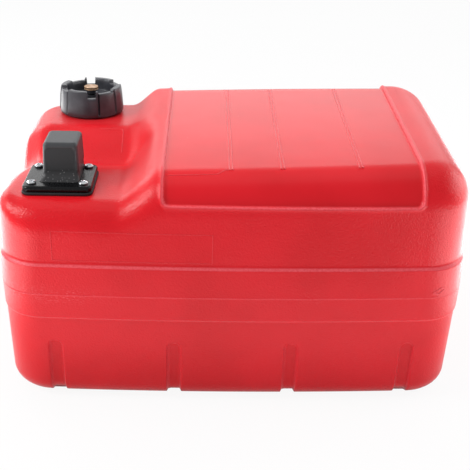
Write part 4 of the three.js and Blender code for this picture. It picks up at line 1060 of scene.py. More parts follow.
make_piece("vent_seat", seated(bush, CAP_SEAT), "cap", "cap_black", ("vent_bush",))

# %% [markdown]
# ## The gauge's plate and its gasket
# A square plate with rounded corners carries the hood. It is a stack of rounded squares,
# with a rounded upper edge. The sheet gasket below it is cut a little larger, and its edge
# bulges where it is squeezed. The post with the spindle's bearing stands on the plate.

# %% Rounded squares in a stack
BLOCK_CORNER, BLOCK_EASE = 0.5, 0.3


def rounded_ring(half_x, half_y, corner, per_side=12, per_corner=8, centre=(0.0, 0.0)):
    """Points round a rounded rectangle, counter-clockwise, even along sides and corners."""
    cx, cy = half_x - corner, half_y - corner
    signs = np.array([(1, -1), (1, 1), (-1, 1), (-1, -1)])
    share = np.linspace(0, 1, per_side + 1)[1:-1, None]
    parts = []
    for k in range(4):
        turn = (k - 1) * math.pi / 2 + np.linspace(0, math.pi / 2, per_corner + 1)
        sweep = corner * np.stack([np.cos(turn), np.sin(turn)], axis=-1)
        arc = signs[k] * (cx, cy) + sweep
        following = signs[(k + 1) % 4] * (cx, cy) + sweep[-1]
        parts += [arc, arc[-1] * (1 - share) + following * share]
    return np.concatenate(parts) + centre


def at_height(flat, z):
    """A flat ring as points at height z."""
    return np.concatenate([flat, np.full((len(flat), 1), z)], axis=1)


def closed_stack(rings, centre=(0.0, 0.0)):
    """Rings joined one over another, closed below and above at the centre."""
    middle = np.array([*centre, 0.0])
    ends = [ring * (0.0, 0.0, 1.0) + middle for ring in (rings[0], rings[-1])]
    return as_surface(np.stack([ends[0], *rings, ends[1]]))


def stacked(levels):
    """Rounded squares at given (half side, corner, height) levels."""
    return closed_stack([at_height(rounded_ring(half, half, corner), z) for half, corner, z in levels])


def upright_block(half_x, y0, y1, z0, z1, middle_x):
    """A block with rounded upright edges and eased upper and lower edges."""
    half_y, centre = (y1 - y0) / 2, (middle_x, (y0 + y1) / 2)
    levels = ((BLOCK_EASE, z0), (0, z0 + BLOCK_EASE), (0, z1 - BLOCK_EASE), (BLOCK_EASE, z1))
    rings = []
    for inset, z in levels:
        flat = rounded_ring(half_x - inset, half_y - inset, BLOCK_CORNER, 3, 4, centre)
        rings.append(at_height(flat, z))
    return closed_stack(rings, centre)


print("a rounded square has", len(rounded_ring(1.0, 1.0, 0.2)), "points round it")

# %% Stack the plate, its post and the gasket
GASKET_FOOT, PLATE_FOOT, PLATE_TOP = 0.3, 3.3, 9.0
PLATE_HALF, PLATE_CORNER, GASKET_HALF, GASKET_CORNER = 34.0, 7.0, 35.0, 8.0
POST_FROM, POST_TO, POST_HALF, BEARING_RADIUS = 11.7, 20.0, 2.6, 3.4
PIVOT_X, PIVOT_Z = 1.0, 29.0

plate_levels = [
    (PLATE_HALF - 0.8, PLATE_CORNER - 0.6, PLATE_FOOT),
    (PLATE_HALF, PLATE_CORNER, PLATE_FOOT + 0.7),
    (PLATE_HALF, PLATE_CORNER, PLATE_TOP - 1.9),
    (PLATE_HALF - 0.15, PLATE_CORNER - 0.1, PLATE_TOP - 1.4),
    (PLATE_HALF - 0.6, PLATE_CORNER - 0.4, PLATE_TOP - 0.75),
    (PLATE_HALF - 1.1, PLATE_CORNER - 0.7, PLATE_TOP - 0.2),
    (PLATE_HALF - 1.8, PLATE_CORNER - 1.0, PLATE_TOP),
    (PLATE_HALF - 4.0, PLATE_CORNER - 2.0, PLATE_TOP),
]
plate = stacked(plate_levels)
bearing_length = POST_TO - POST_FROM
bearing_profile = [
    [0, 0],
    [BEARING_RADIUS, 0],
    [BEARING_RADIUS, bearing_length],
    [0, bearing_length],
]
bearing = laid_back(turned(eased(bearing_profile, 0.3), 40), PIVOT_X, POST_FROM, PIVOT_Z)
post = upright_block(POST_HALF, POST_FROM, POST_TO, PLATE_TOP - 0.5, PIVOT_Z, PIVOT_X)
make_piece(
    "gauge_plate",
    seated(gather(plate, post, bearing), GAUGE_SEAT),
    "tank",
    "plate_black",
    ("meter_flange",),
    50,
)
gasket_levels = [
    (GASKET_HALF - 0.8, GASKET_CORNER - 0.6, GASKET_FOOT),
    (GASKET_HALF - 0.1, GASKET_CORNER, GASKET_FOOT + 0.5),
    (GASKET_HALF, GASKET_CORNER, GASKET_FOOT + 1.35),
    (GASKET_HALF - 0.1, GASKET_CORNER, GASKET_FOOT + 2.2),
    (GASKET_HALF - 0.8, GASKET_CORNER - 0.6, GASKET_FOOT + 2.7),
]
gasket = seated(stacked(gasket_levels), GAUGE_SEAT)
make_piece("plate_gasket", gasket, "tank", "rubber_black", ("meter_gasket",))

# %% [markdown]
# ## The plate's screws
# Four pan-head screws with a cross recess. The head is a turned dome. Over the cross the
# height of the dome is lowered: a point is inside the cross when it lies in either arm, and
# the floor of the recess slopes up towards the end of each arm.

# %% Turn the screws
SCREW_X, SCREW_Y, HEAD_FOOT, HEAD_RADIUS, HEAD_HEIGHT = 25.3, 23.9, 9.3, 4.7, 3.2
CROSS_HALF, CROSS_REACH, CROSS_DEPTH = 0.72, 2.75, 1.5
SHANK_RADIUS, SHANK_LENGTH = 1.8, 21.0
SCREW_TURNS = {(-1, -1): 0.5, (1, -1): 1.1, (1, 1): 0.25, (-1, 1): 0.8}  # by corner, radians


def screw_head(turn):
    """A dome on a polar grid with a cross sunk into it, turned by `turn`."""
    radius = np.concatenate([np.linspace(0, 3.2, 17), np.linspace(3.4, HEAD_RADIUS, 8)])
    angle = np.arange(96) / 96 * TURN
    r, a = np.meshgrid(radius, angle, indexing="ij")
    dome = HEAD_HEIGHT * (1 - 0.42 * (r / HEAD_RADIUS) ** 2 - 0.14 * (r / HEAD_RADIUS) ** 6)
    u, v = np.abs(r * np.cos(a - turn)), np.abs(r * np.sin(a - turn))
    arms = [
        smooth_ramp(CROSS_HALF - across, -0.1, 0.22) * smooth_ramp(CROSS_REACH - out, -0.2, 0.5)
        for across, out in ((v, u), (u, v))
    ]
    z = dome - np.maximum(*arms) * CROSS_DEPTH
    crown = np.stack([r * np.cos(a), r * np.sin(a), z], axis=-1)[::-1]
    skirt = [
        [0, -SHANK_LENGTH],
        [SHANK_RADIUS / 2, -SHANK_LENGTH],
        [SHANK_RADIUS, 1.6 - SHANK_LENGTH],
        [SHANK_RADIUS, 0],
        [HEAD_RADIUS - 0.15, 0],
        [HEAD_RADIUS, 0.25],
    ]
    low = turned(skirt, len(angle))[0].reshape(len(skirt), len(angle), 3)
    return as_surface(np.concatenate([low, crown]))


for index, ((sign_x, sign_y), turn) in enumerate(SCREW_TURNS.items(), start=1):
    head, faces = screw_head(turn)
    head = head + (sign_x * SCREW_X, sign_y * SCREW_Y, HEAD_FOOT)
    make_piece(
        f"plate_screw_{index}",
        seated((head, faces), GAUGE_SEAT),
        "tank",
        "steel",
        (f"flange_screw_{index}",),
        35,
    )

# %% [markdown]
# ## The hood
# The hood is a thin moulded shell, open underneath, with a flared foot at the front, a
# window in its leaning rear face and a step for the hose plug. It is drawn as one outer
# skin, ring over ring. Faces over the window are left out, and a Solidify modifier gives the
# wall its thickness, inwards. The front carries a slightly sunken panel.

# %% Rings of the hood
HOOD_FOOT, HOOD_TOP, HOOD_X, HOOD_ROUND, HOOD_CORNER = 9.3, 47.3, 1.0, 3.5, 4.0
HOOD_FRONT, HOOD_BACK, BACK_LEAN = -14.5, 32.0, 3.5
HOOD_LEFT, HOOD_RIGHT = (16.8, 15.2), (19.8, 18.6)  # half widths at the foot and at the top
FLARE_HEIGHT, FLARE_FRONT, FLARE_LEFT = 8.0, 7.0, 2.6
NOTCH_BACK, NOTCH_TOP = 27.0, 19.3
WINDOW_Z, WINDOW_HALF_X, WINDOW_HALF_Z = 35.7, 13.0, 7.5


def height_share(z):
    """0 at the hood's foot and 1 at its top."""
    return (z - HOOD_FOOT) / (HOOD_TOP - HOOD_FOOT)


def hood_back(z):
    """The rear face leans forward over the hood's height."""
    return HOOD_BACK - BACK_LEAN * height_share(z)


def hood_ring(z, inset, back):
    """One level of the hood: it tapers upwards, and its front and left flare out at the foot."""
    share = height_share(z)
    flare = max(0.0, 1 - (z - HOOD_FOOT) / FLARE_HEIGHT) ** 2
    left, right = blend_of(*HOOD_LEFT, share) + FLARE_LEFT * flare, blend_of(*HOOD_RIGHT, share)
    front_y, back_y = HOOD_FRONT - FLARE_FRONT * flare + inset, back - inset
    corner = max(HOOD_CORNER - inset / 2, 0.6)
    centre = (HOOD_X + (right - left) / 2, (front_y + back_y) / 2)
    half_x, half_y = (left + right) / 2 - inset, (back_y - front_y) / 2
    return at_height(rounded_ring(half_x, half_y, corner, 28, 6, centre), z)


def hood_rows():
    """Rings from the foot: a stepped-in rear up to the notch's head, then the full depth."""
    rows = [hood_ring(z, 0, NOTCH_BACK) for z in np.linspace(HOOD_FOOT, NOTCH_TOP, 12)]
    window_foot, window_head = WINDOW_Z - WINDOW_HALF_Z, WINDOW_Z + WINDOW_HALF_Z
    below = np.linspace(NOTCH_TOP + 0.9, window_foot, 9)
    beside = np.linspace(window_foot + 1.0, window_head, 15)
    rows += [hood_ring(z, 0, hood_back(z)) for z in (NOTCH_TOP, *below, *beside)]
    for bend in np.linspace(0, math.pi / 2, 7):
        z = HOOD_TOP - HOOD_ROUND * (1 - math.sin(bend))
        rows.append(hood_ring(z, HOOD_ROUND * (1 - math.cos(bend)), hood_back(z)))
    rim = rows[-1]
    middle = rim.mean(axis=0)
    rows += [rim + (middle - rim) * share for share in (0.08, 0.3, 0.6, 0.85, 1.0)]
    return np.stack(rows)


hood_grid = hood_rows()
print("rings and columns of the hood", hood_grid.shape[:2])

# %% Sink the panel, open the window and give the hood its wall
PANEL_SHIFT, PANEL_HALF, PANEL_CORNER, PANEL_MARGIN = 1.6, 15.0, 5.0, 4.4
PANEL_DEPTH, PANEL_FOOT, PANEL_FADE = 0.7, (7.0, 8.4), (-0.3, 0.6)
HOOD_WALL = 2.2


def panel_depth(x, y, z):
    """Depth of the front's sunk panel, with two rounded upper corners and a soft edge."""
    beside = np.abs(x - HOOD_X - PANEL_SHIFT) - (PANEL_HALF - PANEL_CORNER)
    over = z - (HOOD_TOP - PANEL_MARGIN - PANEL_CORNER)
    inside = PANEL_CORNER - np.hypot(np.maximum(beside, 0), np.maximum(over, 0))
    on_face = (y < HOOD_FRONT + 0.7) & (z < HOOD_TOP - 2)
    above_flare = smooth_ramp(z - HOOD_FOOT, *PANEL_FOOT)
    return PANEL_DEPTH * smooth_ramp(inside, *PANEL_FADE) * on_face * above_flare


sunk = panel_depth(*np.moveaxis(hood_grid, -1, 0))
hood_grid[..., 1] += sunk
hood_points, hood_faces = as_surface(hood_grid)
centres = hood_points[hood_faces].mean(axis=1)
in_window = (
    (np.abs(centres[:, 0] - HOOD_X) < WINDOW_HALF_X)
    & (np.abs(centres[:, 2] - WINDOW_Z) < WINDOW_HALF_Z)
    & (centres[:, 1] > 20)
)
hood_surface = (hood_points, hood_faces[~in_window])
# The sunk panel's share is stored for the finish, which paints shade into the front panel.
hood = make_piece(
    "gauge_hood",
    seated(hood_surface, GAUGE_SEAT),
    "tank",
    "hood_black",
    ("meter_hood",),
    50,
    smooth_area=np.clip(sunk / PANEL_DEPTH, 0, 1),
)
wall = hood.modifiers.new("wall", "SOLIDIFY")
wall.thickness, wall.offset = HOOD_WALL * MM, -1.0
print("window leaves out", int(in_window.sum()), "faces")

# %% [markdown]
# ## The hose connector
# Behind the hood a brass nipple takes the fuel hose's plug, with a steel guide pin beside it
# that lets the plug go on one way round only. Both are turned. A rubber ring sits in the
# nipple's groove.

# %% Turn the nipple
NIPPLE_X, NIPPLE_Z, NIPPLE_FROM, NIPPLE_TO = 9.0, 14.0, 6.6, 43.0
NIPPLE_RADIUS, NIPPLE_BORE, MOUTH_RADIUS, BORE_FROM, MOUTH_FROM = 4.2, 2.4, 1.4, 24.0, 40.0
RING_GROOVE, RING_SEAT, RING_BAR = (36.8, 39.2), 3.2, 0.85
SPIGOT_RADIUS, SPIGOT_Y, SPIGOT_FOOT = 2.9, 13.0, -10.5

nipple_profile = eased(
    [
        [0, NIPPLE_FROM],
        [NIPPLE_RADIUS, NIPPLE_FROM],
        [NIPPLE_RADIUS, RING_GROOVE[0]],
        [RING_SEAT, RING_GROOVE[0]],
        [RING_SEAT, RING_GROOVE[1]],
        [NIPPLE_RADIUS, RING_GROOVE[1]],
        [NIPPLE_RADIUS, NIPPLE_TO - 0.9],
        [NIPPLE_RADIUS - 0.9, NIPPLE_TO],
        [MOUTH_RADIUS, NIPPLE_TO],
        [MOUTH_RADIUS, MOUTH_FROM],
        [NIPPLE_BORE, MOUTH_FROM],
        [NIPPLE_BORE, BORE_FROM],
        [0, BORE_FROM],
    ],
    0.25,
)
nipple = laid_back(turned(nipple_profile, 64), NIPPLE_X, 0, NIPPLE_Z)
spigot_profile = [
    [0, SPIGOT_FOOT],
    [1.6, SPIGOT_FOOT],
    [SPIGOT_RADIUS, SPIGOT_FOOT],
    [SPIGOT_RADIUS, NIPPLE_Z],
    [0, NIPPLE_Z],
]
spigot_points, spigot_faces = turned(eased(spigot_profile, 0.3), 40)
spigot = (spigot_points + (NIPPLE_X, SPIGOT_Y, 0.0), spigot_faces)
connector = seated(gather(nipple, spigot), GAUGE_SEAT)
make_piece("hose_nipple", connector, "tank", "brass", ("connector_body",), 40)

# %% Turn the guide pin and the ring
PIN_X, PIN_RADIUS, PIN_FOOT_RADIUS, PIN_FROM, PIN_TO = -6.0, 2.4, 3.6, 22.7, 45.0

pin_profile = [
    [0, PIN_FROM],
    [PIN_FOOT_RADIUS, PIN_FROM],
    [PIN_FOOT_RADIUS, PIN_FROM + 1.8],
    [PIN_RADIUS, PIN_FROM + 1.8],
    [PIN_RADIUS, PIN_TO - 1.4],
    [1.3, PIN_TO],
    [0, PIN_TO],
]
pin = laid_back(turned(eased(pin_profile, 0.35), 48), PIN_X, 0, NIPPLE_Z)
make_piece("guide_pin", seated(pin, GAUGE_SEAT), "tank", "steel", ("connector_guide_pin",), 40)
round_ring = np.linspace(0, TURN, 17)[:-1]
ring_profile = np.stack(
    [
        NIPPLE_RADIUS + 0.15 + RING_BAR * np.cos(round_ring),
        RING_BAR * np.sin(round_ring),
    ],
    axis=-1,
)
nipple_ring = laid_back(turned_loop(ring_profile, 64), NIPPLE_X, sum(RING_GROOVE) / 2, NIPPLE_Z)
make_piece(
    "nipple_ring",
    seated(nipple_ring, GAUGE_SEAT),
    "tank",
    "rubber_black",
    ("connector_oring",),
)

# %% [markdown]
# ## Marks on the dial
# The dial shows only plain marks: short bars on an arc round the pointer's pivot, from empty
# to full. Each is a flat bar a hair above the enamel.

# %% Set the dial's marks
DIAL_FROM, DIAL_SPAN, MARK_COUNT, MARK_Y = 48.0, 84.0, 5, 21.05
MARK_OUTSIDE, LONG_INSIDE, SHORT_INSIDE, MARK_BAR, DIAL_TOP = 15.4, 13.2, 13.9, 0.4, 43.2


def dial_marks():
    """Bars on an arc, the end and middle ones longer, none above the dial's top."""
    bars = []
    for k, turn in enumerate(np.radians(DIAL_FROM + np.linspace(0, DIAL_SPAN, MARK_COUNT))):
        reach = np.array([SHORT_INSIDE if k % 2 else LONG_INSIDE, MARK_OUTSIDE])
        x = PIVOT_X + reach * math.cos(turn)
        z = np.minimum(PIVOT_Z + reach * math.sin(turn), DIAL_TOP)
        inside, outside = np.stack([x, [MARK_Y, MARK_Y], z], axis=-1)
        path = blend_of(inside, outside, np.linspace(0, 1, 6)[:, None])
        bars.append(bar_along(path, MARK_BAR, 8, (0, 1, 0)))
    return gather(*bars)


make_piece("dial_marks", seated(dial_marks(), GAUGE_SEAT), "tank", "hood_black")

# %% [markdown]
# ## Shader arithmetic
# A finish is a graph of nodes, and so is the world behind the scene. Here an output of a node
# is wrapped in a small class, so that `1 - mask * 0.3` adds the Math nodes by itself. Any
# other node comes from one method that takes its type, its settings and what its sockets are
# given.

# %% A signal
class Signal:
    """One number that varies over a surface; arithmetic on it adds Math nodes."""

    def __init__(self, graph, socket):
        self.graph, self.socket = graph, socket

    def math(self, operation, *others):
        """The signal and the others through one Math node."""
        values = dict(enumerate((self, *others)))
        return self.graph.node("ShaderNodeMath", {"operation": operation}, values)

    def __add__(self, other):
        return self.math("ADD", other)

    def __sub__(self, other):
        return self.math("SUBTRACT", other)

    def __mul__(self, other):
        return self.math("MULTIPLY", other)

    __radd__, __rmul__ = __add__, __mul__

    def __rsub__(self, other):
        return self.graph.node("ShaderNodeMath", {"operation": "SUBTRACT"}, {0: other, 1: self})

    def ramp(self, low, high):
        """0 at low and 1 at high, smoothly; low may be the larger of the two."""
        settings = {"interpolation_type": "SMOOTHSTEP"}
        if low > high:
            return 1 - self.ramp(high, low)
        sockets = {0: self, 1: low, 2: high}
        return self.graph.node("ShaderNodeMapRange", settings, sockets)


print("a signal can", ", ".join(name for name in vars(Signal) if not name.startswith("__")))

# %% A graph of nodes
class Graph:
    """A node tree under construction, emptied first, with its output node."""

    def __init__(self, owner, output_kind):
        owner.use_nodes = True
        self.tree = owner.node_tree
        self.tree.nodes.clear()
        self.output = self.tree.nodes.new(output_kind)

    def node(self, kind, settings=None, sockets=None, output=0):
        """Adds a node; settings first, then values or links for its sockets, by name or number."""
        made = self.tree.nodes.new(kind)
        for key, value in (settings or {}).items():
            setattr(made, key, value)
        for key, value in (sockets or {}).items():
            if isinstance(value, Signal):
                self.tree.links.new(value.socket, made.inputs[key])
            else:
                made.inputs[key].default_value = value
        return Signal(self, made.outputs[output])

    def show(self, shader):
        """Links a shader to the output."""
        self.tree.links.new(shader.socket, self.output.inputs["Surface"])


def linear(code):
    """An sRGB colour code as linear numbers, as a shader wants it."""
    parts = [int(code[k : k + 2], 16) / 255 for k in (1, 3, 5)]
    return (*[c / 12.92 if c <= 0.04045 else ((c + 0.055) / 1.055) ** 2.4 for c in parts], 1.0)


print("mid grey in linear numbers", [round(part, 3) for part in linear("#808080")])

# %% [markdown]
# ## A finish
# A finish is a material whose pattern hangs on the object's own coordinates, so that it stays
# in place when the piece moves. Noise, mixed colours and bumps are what all finishes share.

# %% Finish class
class Finish(Graph):
    """A node material under construction."""

    def __init__(self, name):
        self.material = bpy.data.materials.new(name)
        super().__init__(self.material, "ShaderNodeOutputMaterial")
        self.place = self.node("ShaderNodeTexCoord", output="Object")

    def noise(self, scale, detail, rough=0.5, at=None):
        """Noise over the object's own coordinates: scale is in features per metre."""
        sockets = {"Vector": at or self.place, "Scale": scale, "Detail": detail, "Roughness": rough}
        return self.node("ShaderNodeTexNoise", None, sockets)

    def mix(self, low, high, share):
        """Colour between low and high by a share."""
        settings, sockets = {"data_type": "RGBA"}, {0: share, 6: low, 7: high}
        return self.node("ShaderNodeMix", settings, sockets, output=2)

    def along(self, axis):
        """The x, y or z of a point, in metres."""
        return self.node("ShaderNodeSeparateXYZ", None, {0: self.place}, output=axis)

    def mark(self, name):
        """A number that make_piece stored at the mesh's points; 0 where a mesh has none."""
        return self.node("ShaderNodeAttribute", {"attribute_name": name}, output="Fac")

    def bump(self, height, distance, strength, under=None):
        """A normal bent by a height in shares of distance."""
        sockets = {"Height": height, "Distance": distance, "Strength": strength}
        if under is not None:
            sockets["Normal"] = under
        return self.node("ShaderNodeBump", None, sockets)

    def surface(self, **sockets):
        """The Principled shader with the sockets given, underscores standing for spaces."""
        named = {key.replace("_", " "): value for key, value in sockets.items()}
        self.show(self.node("ShaderNodeBsdfPrincipled", None, named))
        return self.material


finishes = {}


def add_finishes(**made):
    """Keeps finishes by the slot that they fill."""
    finishes.update(made)
    for slot, material in made.items():
        print(f"{slot}: {material.name}, {len(material.node_tree.nodes)} nodes")


# %% [markdown]
# ## Red polyethylene
# The shell is coloured through, with a mould grain of about a millimetre that sparkles in
# the highlights, and a smoother field in the recess. The colour drifts a little over the
# skin. A pale pink highlight is painted along the marked edges, and scrapes along the
# trimmed parting line are paler too, most of them at the left.

# %% Finish of the shell
SCRAPE_STRETCH = (300.0, 300.0, 1600.0)  # features per metre, short upwards
SCRAPE_BAND, SCRAPE_LEFT = (0.014, 0.002), (-0.11, -0.16)  # m from the parting line, and m of x


def red_shell():
    """Pigment drift, painted highlights on edges, grain kept out of the recess, scuffs by the parting
    line.
    """
    f = Finish("red_polyethylene")
    smooth_area, bloom = f.mark("smooth_area"), f.mark("edge_bloom")
    drift, ripple, grain = f.noise(9.0, 3.0), f.noise(38.0, 1.0), f.noise(620.0, 1.0, 0.4)
    colour = f.mix(linear("#d10c19"), linear("#dc1220"), drift.ramp(0.35, 0.65))
    from_line = (f.along(2) - PARTING * MM).math("ABSOLUTE")
    stretched = f.node("ShaderNodeMapping", None, {"Vector": f.place, "Scale": SCRAPE_STRETCH})
    scratch = f.noise(1.0, 3.0, at=stretched)
    rubbed = f.along(0).ramp(*SCRAPE_LEFT) + f.noise(14.0, 1.0).ramp(0.6, 0.7) * 0.3
    scuff = scratch.ramp(0.56, 0.7) * from_line.ramp(*SCRAPE_BAND) * rubbed
    colour = f.mix(colour, linear("#f0828a"), scuff * 0.45)
    # Painted highlight: pale pink along the marked edges, a little grainy.
    colour = f.mix(colour, linear("#f36a74"), bloom * (0.5 + grain.ramp(0.3, 0.7) * 0.3))
    relief = f.bump(ripple, 0.0012, 0.12)
    relief = f.bump(grain * (1 - smooth_area * 0.97), 0.0007, 0.55, relief)
    return f.surface(
        Base_Color=colour,
        Roughness=0.25 + grain * 0.1 - smooth_area * 0.06 + scuff * 0.2,
        Normal=relief,
        IOR=1.45,
        Specular_IOR_Level=0.34,
        Sheen_Weight=0.15,
        Sheen_Roughness=0.3,
    )


add_finishes(tank_red=red_shell())

# %% [markdown]
# ## Black plastics and rubber
# The cap is satin, the plate glossy, and rubber dull and slightly uneven. The hood is a matte
# charcoal with a fine spark-eroded grain; shade is painted into its sunk front panel, it is
# darker towards its foot, and pale specks of dust lie there. White and orange enamel, nylon
# and foam take the same recipe as the cap, with other colours.

# %% Finishes of the plastic pieces
DUST_HEIGHTS = (0.2425, 0.2375)  # m, down over the hood's flared foot


def plastic(name, deep, pale, rough, grain_scale, grain_depth, gloss=0.5):
    """Two close shades mixed by slow noise, with fine grain in the normal and the roughness."""
    f = Finish(name)
    shade = f.noise(60.0, 3.0).ramp(0.35, 0.7)
    grain = f.noise(grain_scale, 2.0)
    return f.surface(
        Base_Color=f.mix(linear(deep), linear(pale), shade),
        Roughness=rough + (grain - 0.5) * 0.16,
        Normal=f.bump(grain, grain_depth, 0.6),
        Specular_IOR_Level=gloss,
    )


def charcoal():
    """The hood's plastic: painted shade in the sunk front panel, darker towards the foot, pale dust
    specks low on its flared foot.
    """
    f = Finish("charcoal")
    # Painted shade: the sunk front panel is much darker than the rest.
    colour = f.mix(linear("#343538"), linear("#151417"), f.mark("smooth_area"))
    low = f.along(2).ramp(*DUST_HEIGHTS)
    # Darker towards the foot.
    colour = f.mix(colour, linear("#161517"), low * 0.8)
    dots = {"Vector": f.place, "Scale": 420.0}
    specks = f.node("ShaderNodeTexVoronoi", None, dots, output="Distance").ramp(0.17, 0.1) * low
    grain = f.noise(2200.0, 2.0)
    return f.surface(
        Base_Color=f.mix(colour, linear("#a5a3a3"), specks),
        Roughness=0.46 + (grain - 0.5) * 0.16,
        Normal=f.bump(grain, 0.00012, 0.6),
    )


add_finishes(
    cap_black=plastic("satin_black", "#303036", "#424349", 0.34, 1500.0, 0.00012),
    plate_black=plastic("gloss_black", "#08080a", "#0e0e10", 0.26, 900.0, 0.00008, 0.22),
    hood_black=charcoal(),
    rubber_black=plastic("rubber", "#161618", "#232326", 0.66, 700.0, 0.0001),
    dial_white=plastic("white_enamel", "#e9e7df", "#f4f2ea", 0.3, 900.0, 0.00003),
    pointer_orange=plastic("orange_enamel", "#d9481c", "#e25a28", 0.35, 900.0, 0.00003),
    plastic_pale=plastic("pale_nylon", "#ddd8ca", "#ebe7db", 0.45, 900.0, 0.00008),
    float_dark=plastic("nitrile_foam", "#2c2c2e", "#3c3c40", 0.75, 500.0, 0.0003),
)

# %% [markdown]
# ## Metals and the window
# Brass is warm with a darker bloom and the screws are bright zinc, both with fine turning
# marks. The window is clear plastic.

# %% Finishes of metal and of the window
def metal(name, bright, dull, rough):
    """Metal whose shade and gloss drift with noise, and faint scratches in its normal."""
    f = Finish(name)
    bloom = f.noise(180.0, 3.0).ramp(0.35, 0.75)
    return f.surface(
        Base_Color=f.mix(linear(bright), linear(dull), bloom),
        Metallic=1.0,
        Roughness=rough + bloom * 0.14,
        Normal=f.bump(f.noise(1500.0, 2.0), 0.00004, 0.5),
    )


def clear_window():
    """Thin clear plastic with a very slight unevenness."""
    f = Finish("clear_window")
    return f.surface(
        Base_Color=linear("#f4f7f6"),
        Roughness=0.04 + f.noise(400.0, 1.0) * 0.03,
        Transmission_Weight=1.0,
        IOR=1.45,
        Normal=f.bump(f.noise(120.0, 1.0), 0.0001, 0.2),
    )


add_finishes(
    brass=metal("brass", "#cfab8e", "#a98768", 0.38),
    steel=metal("bright_zinc", "#e9ebee", "#bfc3c8", 0.16),
    window_clear=clear_window(),
)

# %% [markdown]
# ## Put each finish on its pieces
# New pieces say which slot of the record they take. CAD nodes that stay visible keep their
# mesh, and the table below gives each the same slot as the record does.

# %% Assign the finishes
slot_of = {
    "cap_gasket": "rubber_black",
    "cap_liner": "plastic_pale",
    "vent_seal": "rubber_black",
    "window_seal": "rubber_black",
    "meter_window": "window_clear",
    "dial_plate": "dial_white",
    "gauge_pointer": "pointer_orange",
    "gauge_link": "steel",
    "gauge_bracket": "steel",
    "arm_pin": "steel",
    "arm_hub": "plastic_pale",
    "float_arm": "steel",
    "gauge_float": "float_dark",
    "pickup_tube": "plastic_pale",
    "pickup_strainer": "plastic_pale",
    "connector_valve": "brass",
    "valve_spring": "steel",
}
for thing in list(bpy.data.objects):
    if thing.type != "MESH":
        continue
    chosen = thing.get("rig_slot") or slot_of.get(thing.name, "tank_red")
    thing.data.materials.clear()
    thing.data.materials.append(finishes[chosen])

# %% [markdown]
# ## Floor and background
# The photograph is a cut-out on white. The camera sees a nearly white floor, which keeps a
# faint shadow, and a white world. Reflections see both at a bit less than half of that, and
# the world itself lights the object evenly and weakly. Light Path tells such rays apart.

# %% Build the floor and the world
WORLD_LIGHT, FLOOR_GLOW, GLOSS_SHARE = 0.33, 0.92, 0.45
FLOOR_HALF, FLOOR_Z = 4.0, -0.0004  # m
WHITE = (1, 1, 1, 1)


def seen_share(graph):
    """1 for rays from the camera or through glass, GLOSS_SHARE for reflections, else 0."""
    kinds = ("Is Camera Ray", "Is Glossy Ray", "Is Transmission Ray")
    camera, glossy, through = (graph.node("ShaderNodeLightPath", output=kind) for kind in kinds)
    return camera.math("MAXIMUM", (glossy * GLOSS_SHARE).math("MAXIMUM", through))


def pale_floor():
    """Pale diffuse floor; what the camera and reflections see of it is mostly a white glow."""
    f = Finish("pale_floor")
    diffuse = f.node("ShaderNodeBsdfDiffuse", None, {"Color": (0.86, 0.86, 0.87, 1)})
    glow = f.node("ShaderNodeEmission", None, {"Color": WHITE, "Strength": 1.0})
    share = seen_share(f) * FLOOR_GLOW
    f.show(f.node("ShaderNodeMixShader", None, {0: share, 1: diffuse, 2: glow}))
    return f.material


floor_mesh = bpy.data.meshes.new("floor")
corners = [(x * FLOOR_HALF, y * FLOOR_HALF, FLOOR_Z) for x, y in ((-1, -1), (1, -1), (1, 1), (-1, 1))]
floor_mesh.from_pydata(corners, [], [(0, 1, 2, 3)])
floor = bpy.data.objects.new("floor", floor_mesh)
bpy.context.scene.collection.objects.link(floor)
floor.data.materials.append(pale_floor())

bpy.context.scene.view_settings.view_transform = "Standard"
world = bpy.data.worlds.new("studio")
bpy.context.scene.world = world
sky = Graph(world, "ShaderNodeOutputWorld")
levels = {"Value": seen_share(sky), "To Min": WORLD_LIGHT, "To Max": 1.0}
strength = sky.node("ShaderNodeMapRange", None, levels)
sky.show(sky.node("ShaderNodeBackground", None, {"Color": WHITE, "Strength": strength}))
print("floor and world:", len(sky.tree.nodes), "nodes in the world")

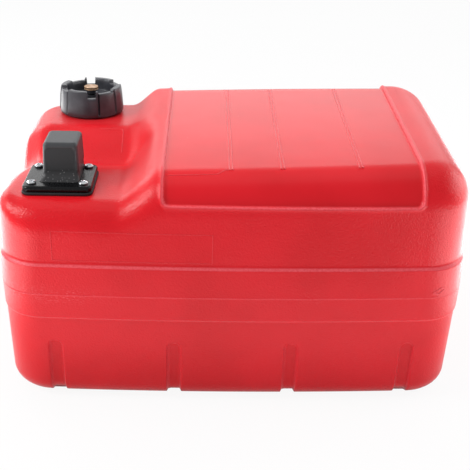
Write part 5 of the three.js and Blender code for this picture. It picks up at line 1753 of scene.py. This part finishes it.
# %% [markdown]
# ## Light
# In the photograph the top and the right corner shine pale, and the front stays saturated:
# white lies behind the object and beside it, and little in front. A lamp behind gives the top
# its sheen and those at the sides the corners theirs. Three on the floor stand for its
# brightness there, the weak one before the tank. The lamp above lights without being
# reflected.

# %% Hang the lamps
BOUNCE_X, BOUNCE_Z = 0.68, 0.004


def softbox(name, place, aim, size, power):
    """A rectangular lamp at `place`, turned to face `aim`: its Z axis points backwards."""
    lamp = bpy.data.lights.new(name, "AREA")
    lamp.shape, lamp.size, lamp.size_y, lamp.energy = "RECTANGLE", size[0], size[1], power
    thing = bpy.data.objects.new(name, lamp)
    bpy.context.scene.collection.objects.link(thing)
    back_axis = unit(np.subtract(place, aim).astype(float))
    side_axis = unit(np.cross((0.0, 0.001, 1.0), back_axis))
    turn = np.eye(4)
    turn[:3, :3] = np.stack([side_axis, np.cross(back_axis, side_axis), back_axis], axis=1)
    turn[:3, 3] = place
    thing.matrix_world = Matrix(turn.tolist())
    return thing


softbox("back_light", (0.0, 2.1, 0.85), (0.0, 0.0, 0.2), (3.0, 0.6), 9.0)
top_light = softbox("top_light", (0.0, 0.2, 1.5), (0.0, 0.0, 0.15), (1.4, 1.0), 9.0)
top_light.visible_glossy = False
softbox("key_light", (-1.15, -0.35, 1.0), (-0.1, 0.0, 0.15), (0.5, 0.5), 11.0)
softbox("left_light", (-1.4, 0.1, 0.5), (-0.1, 0.0, 0.15), (0.9, 0.6), 2.5)
softbox("left_back_light", (-1.05, 1.0, 0.75), (-0.1, -0.1, 0.2), (0.7, 0.8), 5.0)
softbox("right_light", (1.25, 0.2, 0.52), (0.1, 0.0, 0.2), (1.1, 0.9), 10.0)
softbox("front_bounce", (0.0, -0.33, BOUNCE_Z), (0.0, -0.33, 1.0), (0.9, 0.24), 0.4)
for side in (-1, 1):
    place = (side * BOUNCE_X, 0.1, BOUNCE_Z)
    softbox(f"bounce_{side + 2}", place, (side * BOUNCE_X, 0.1, 1.0), (0.6, 1.8), 11.0)
print(len(bpy.data.lights), "lamps")
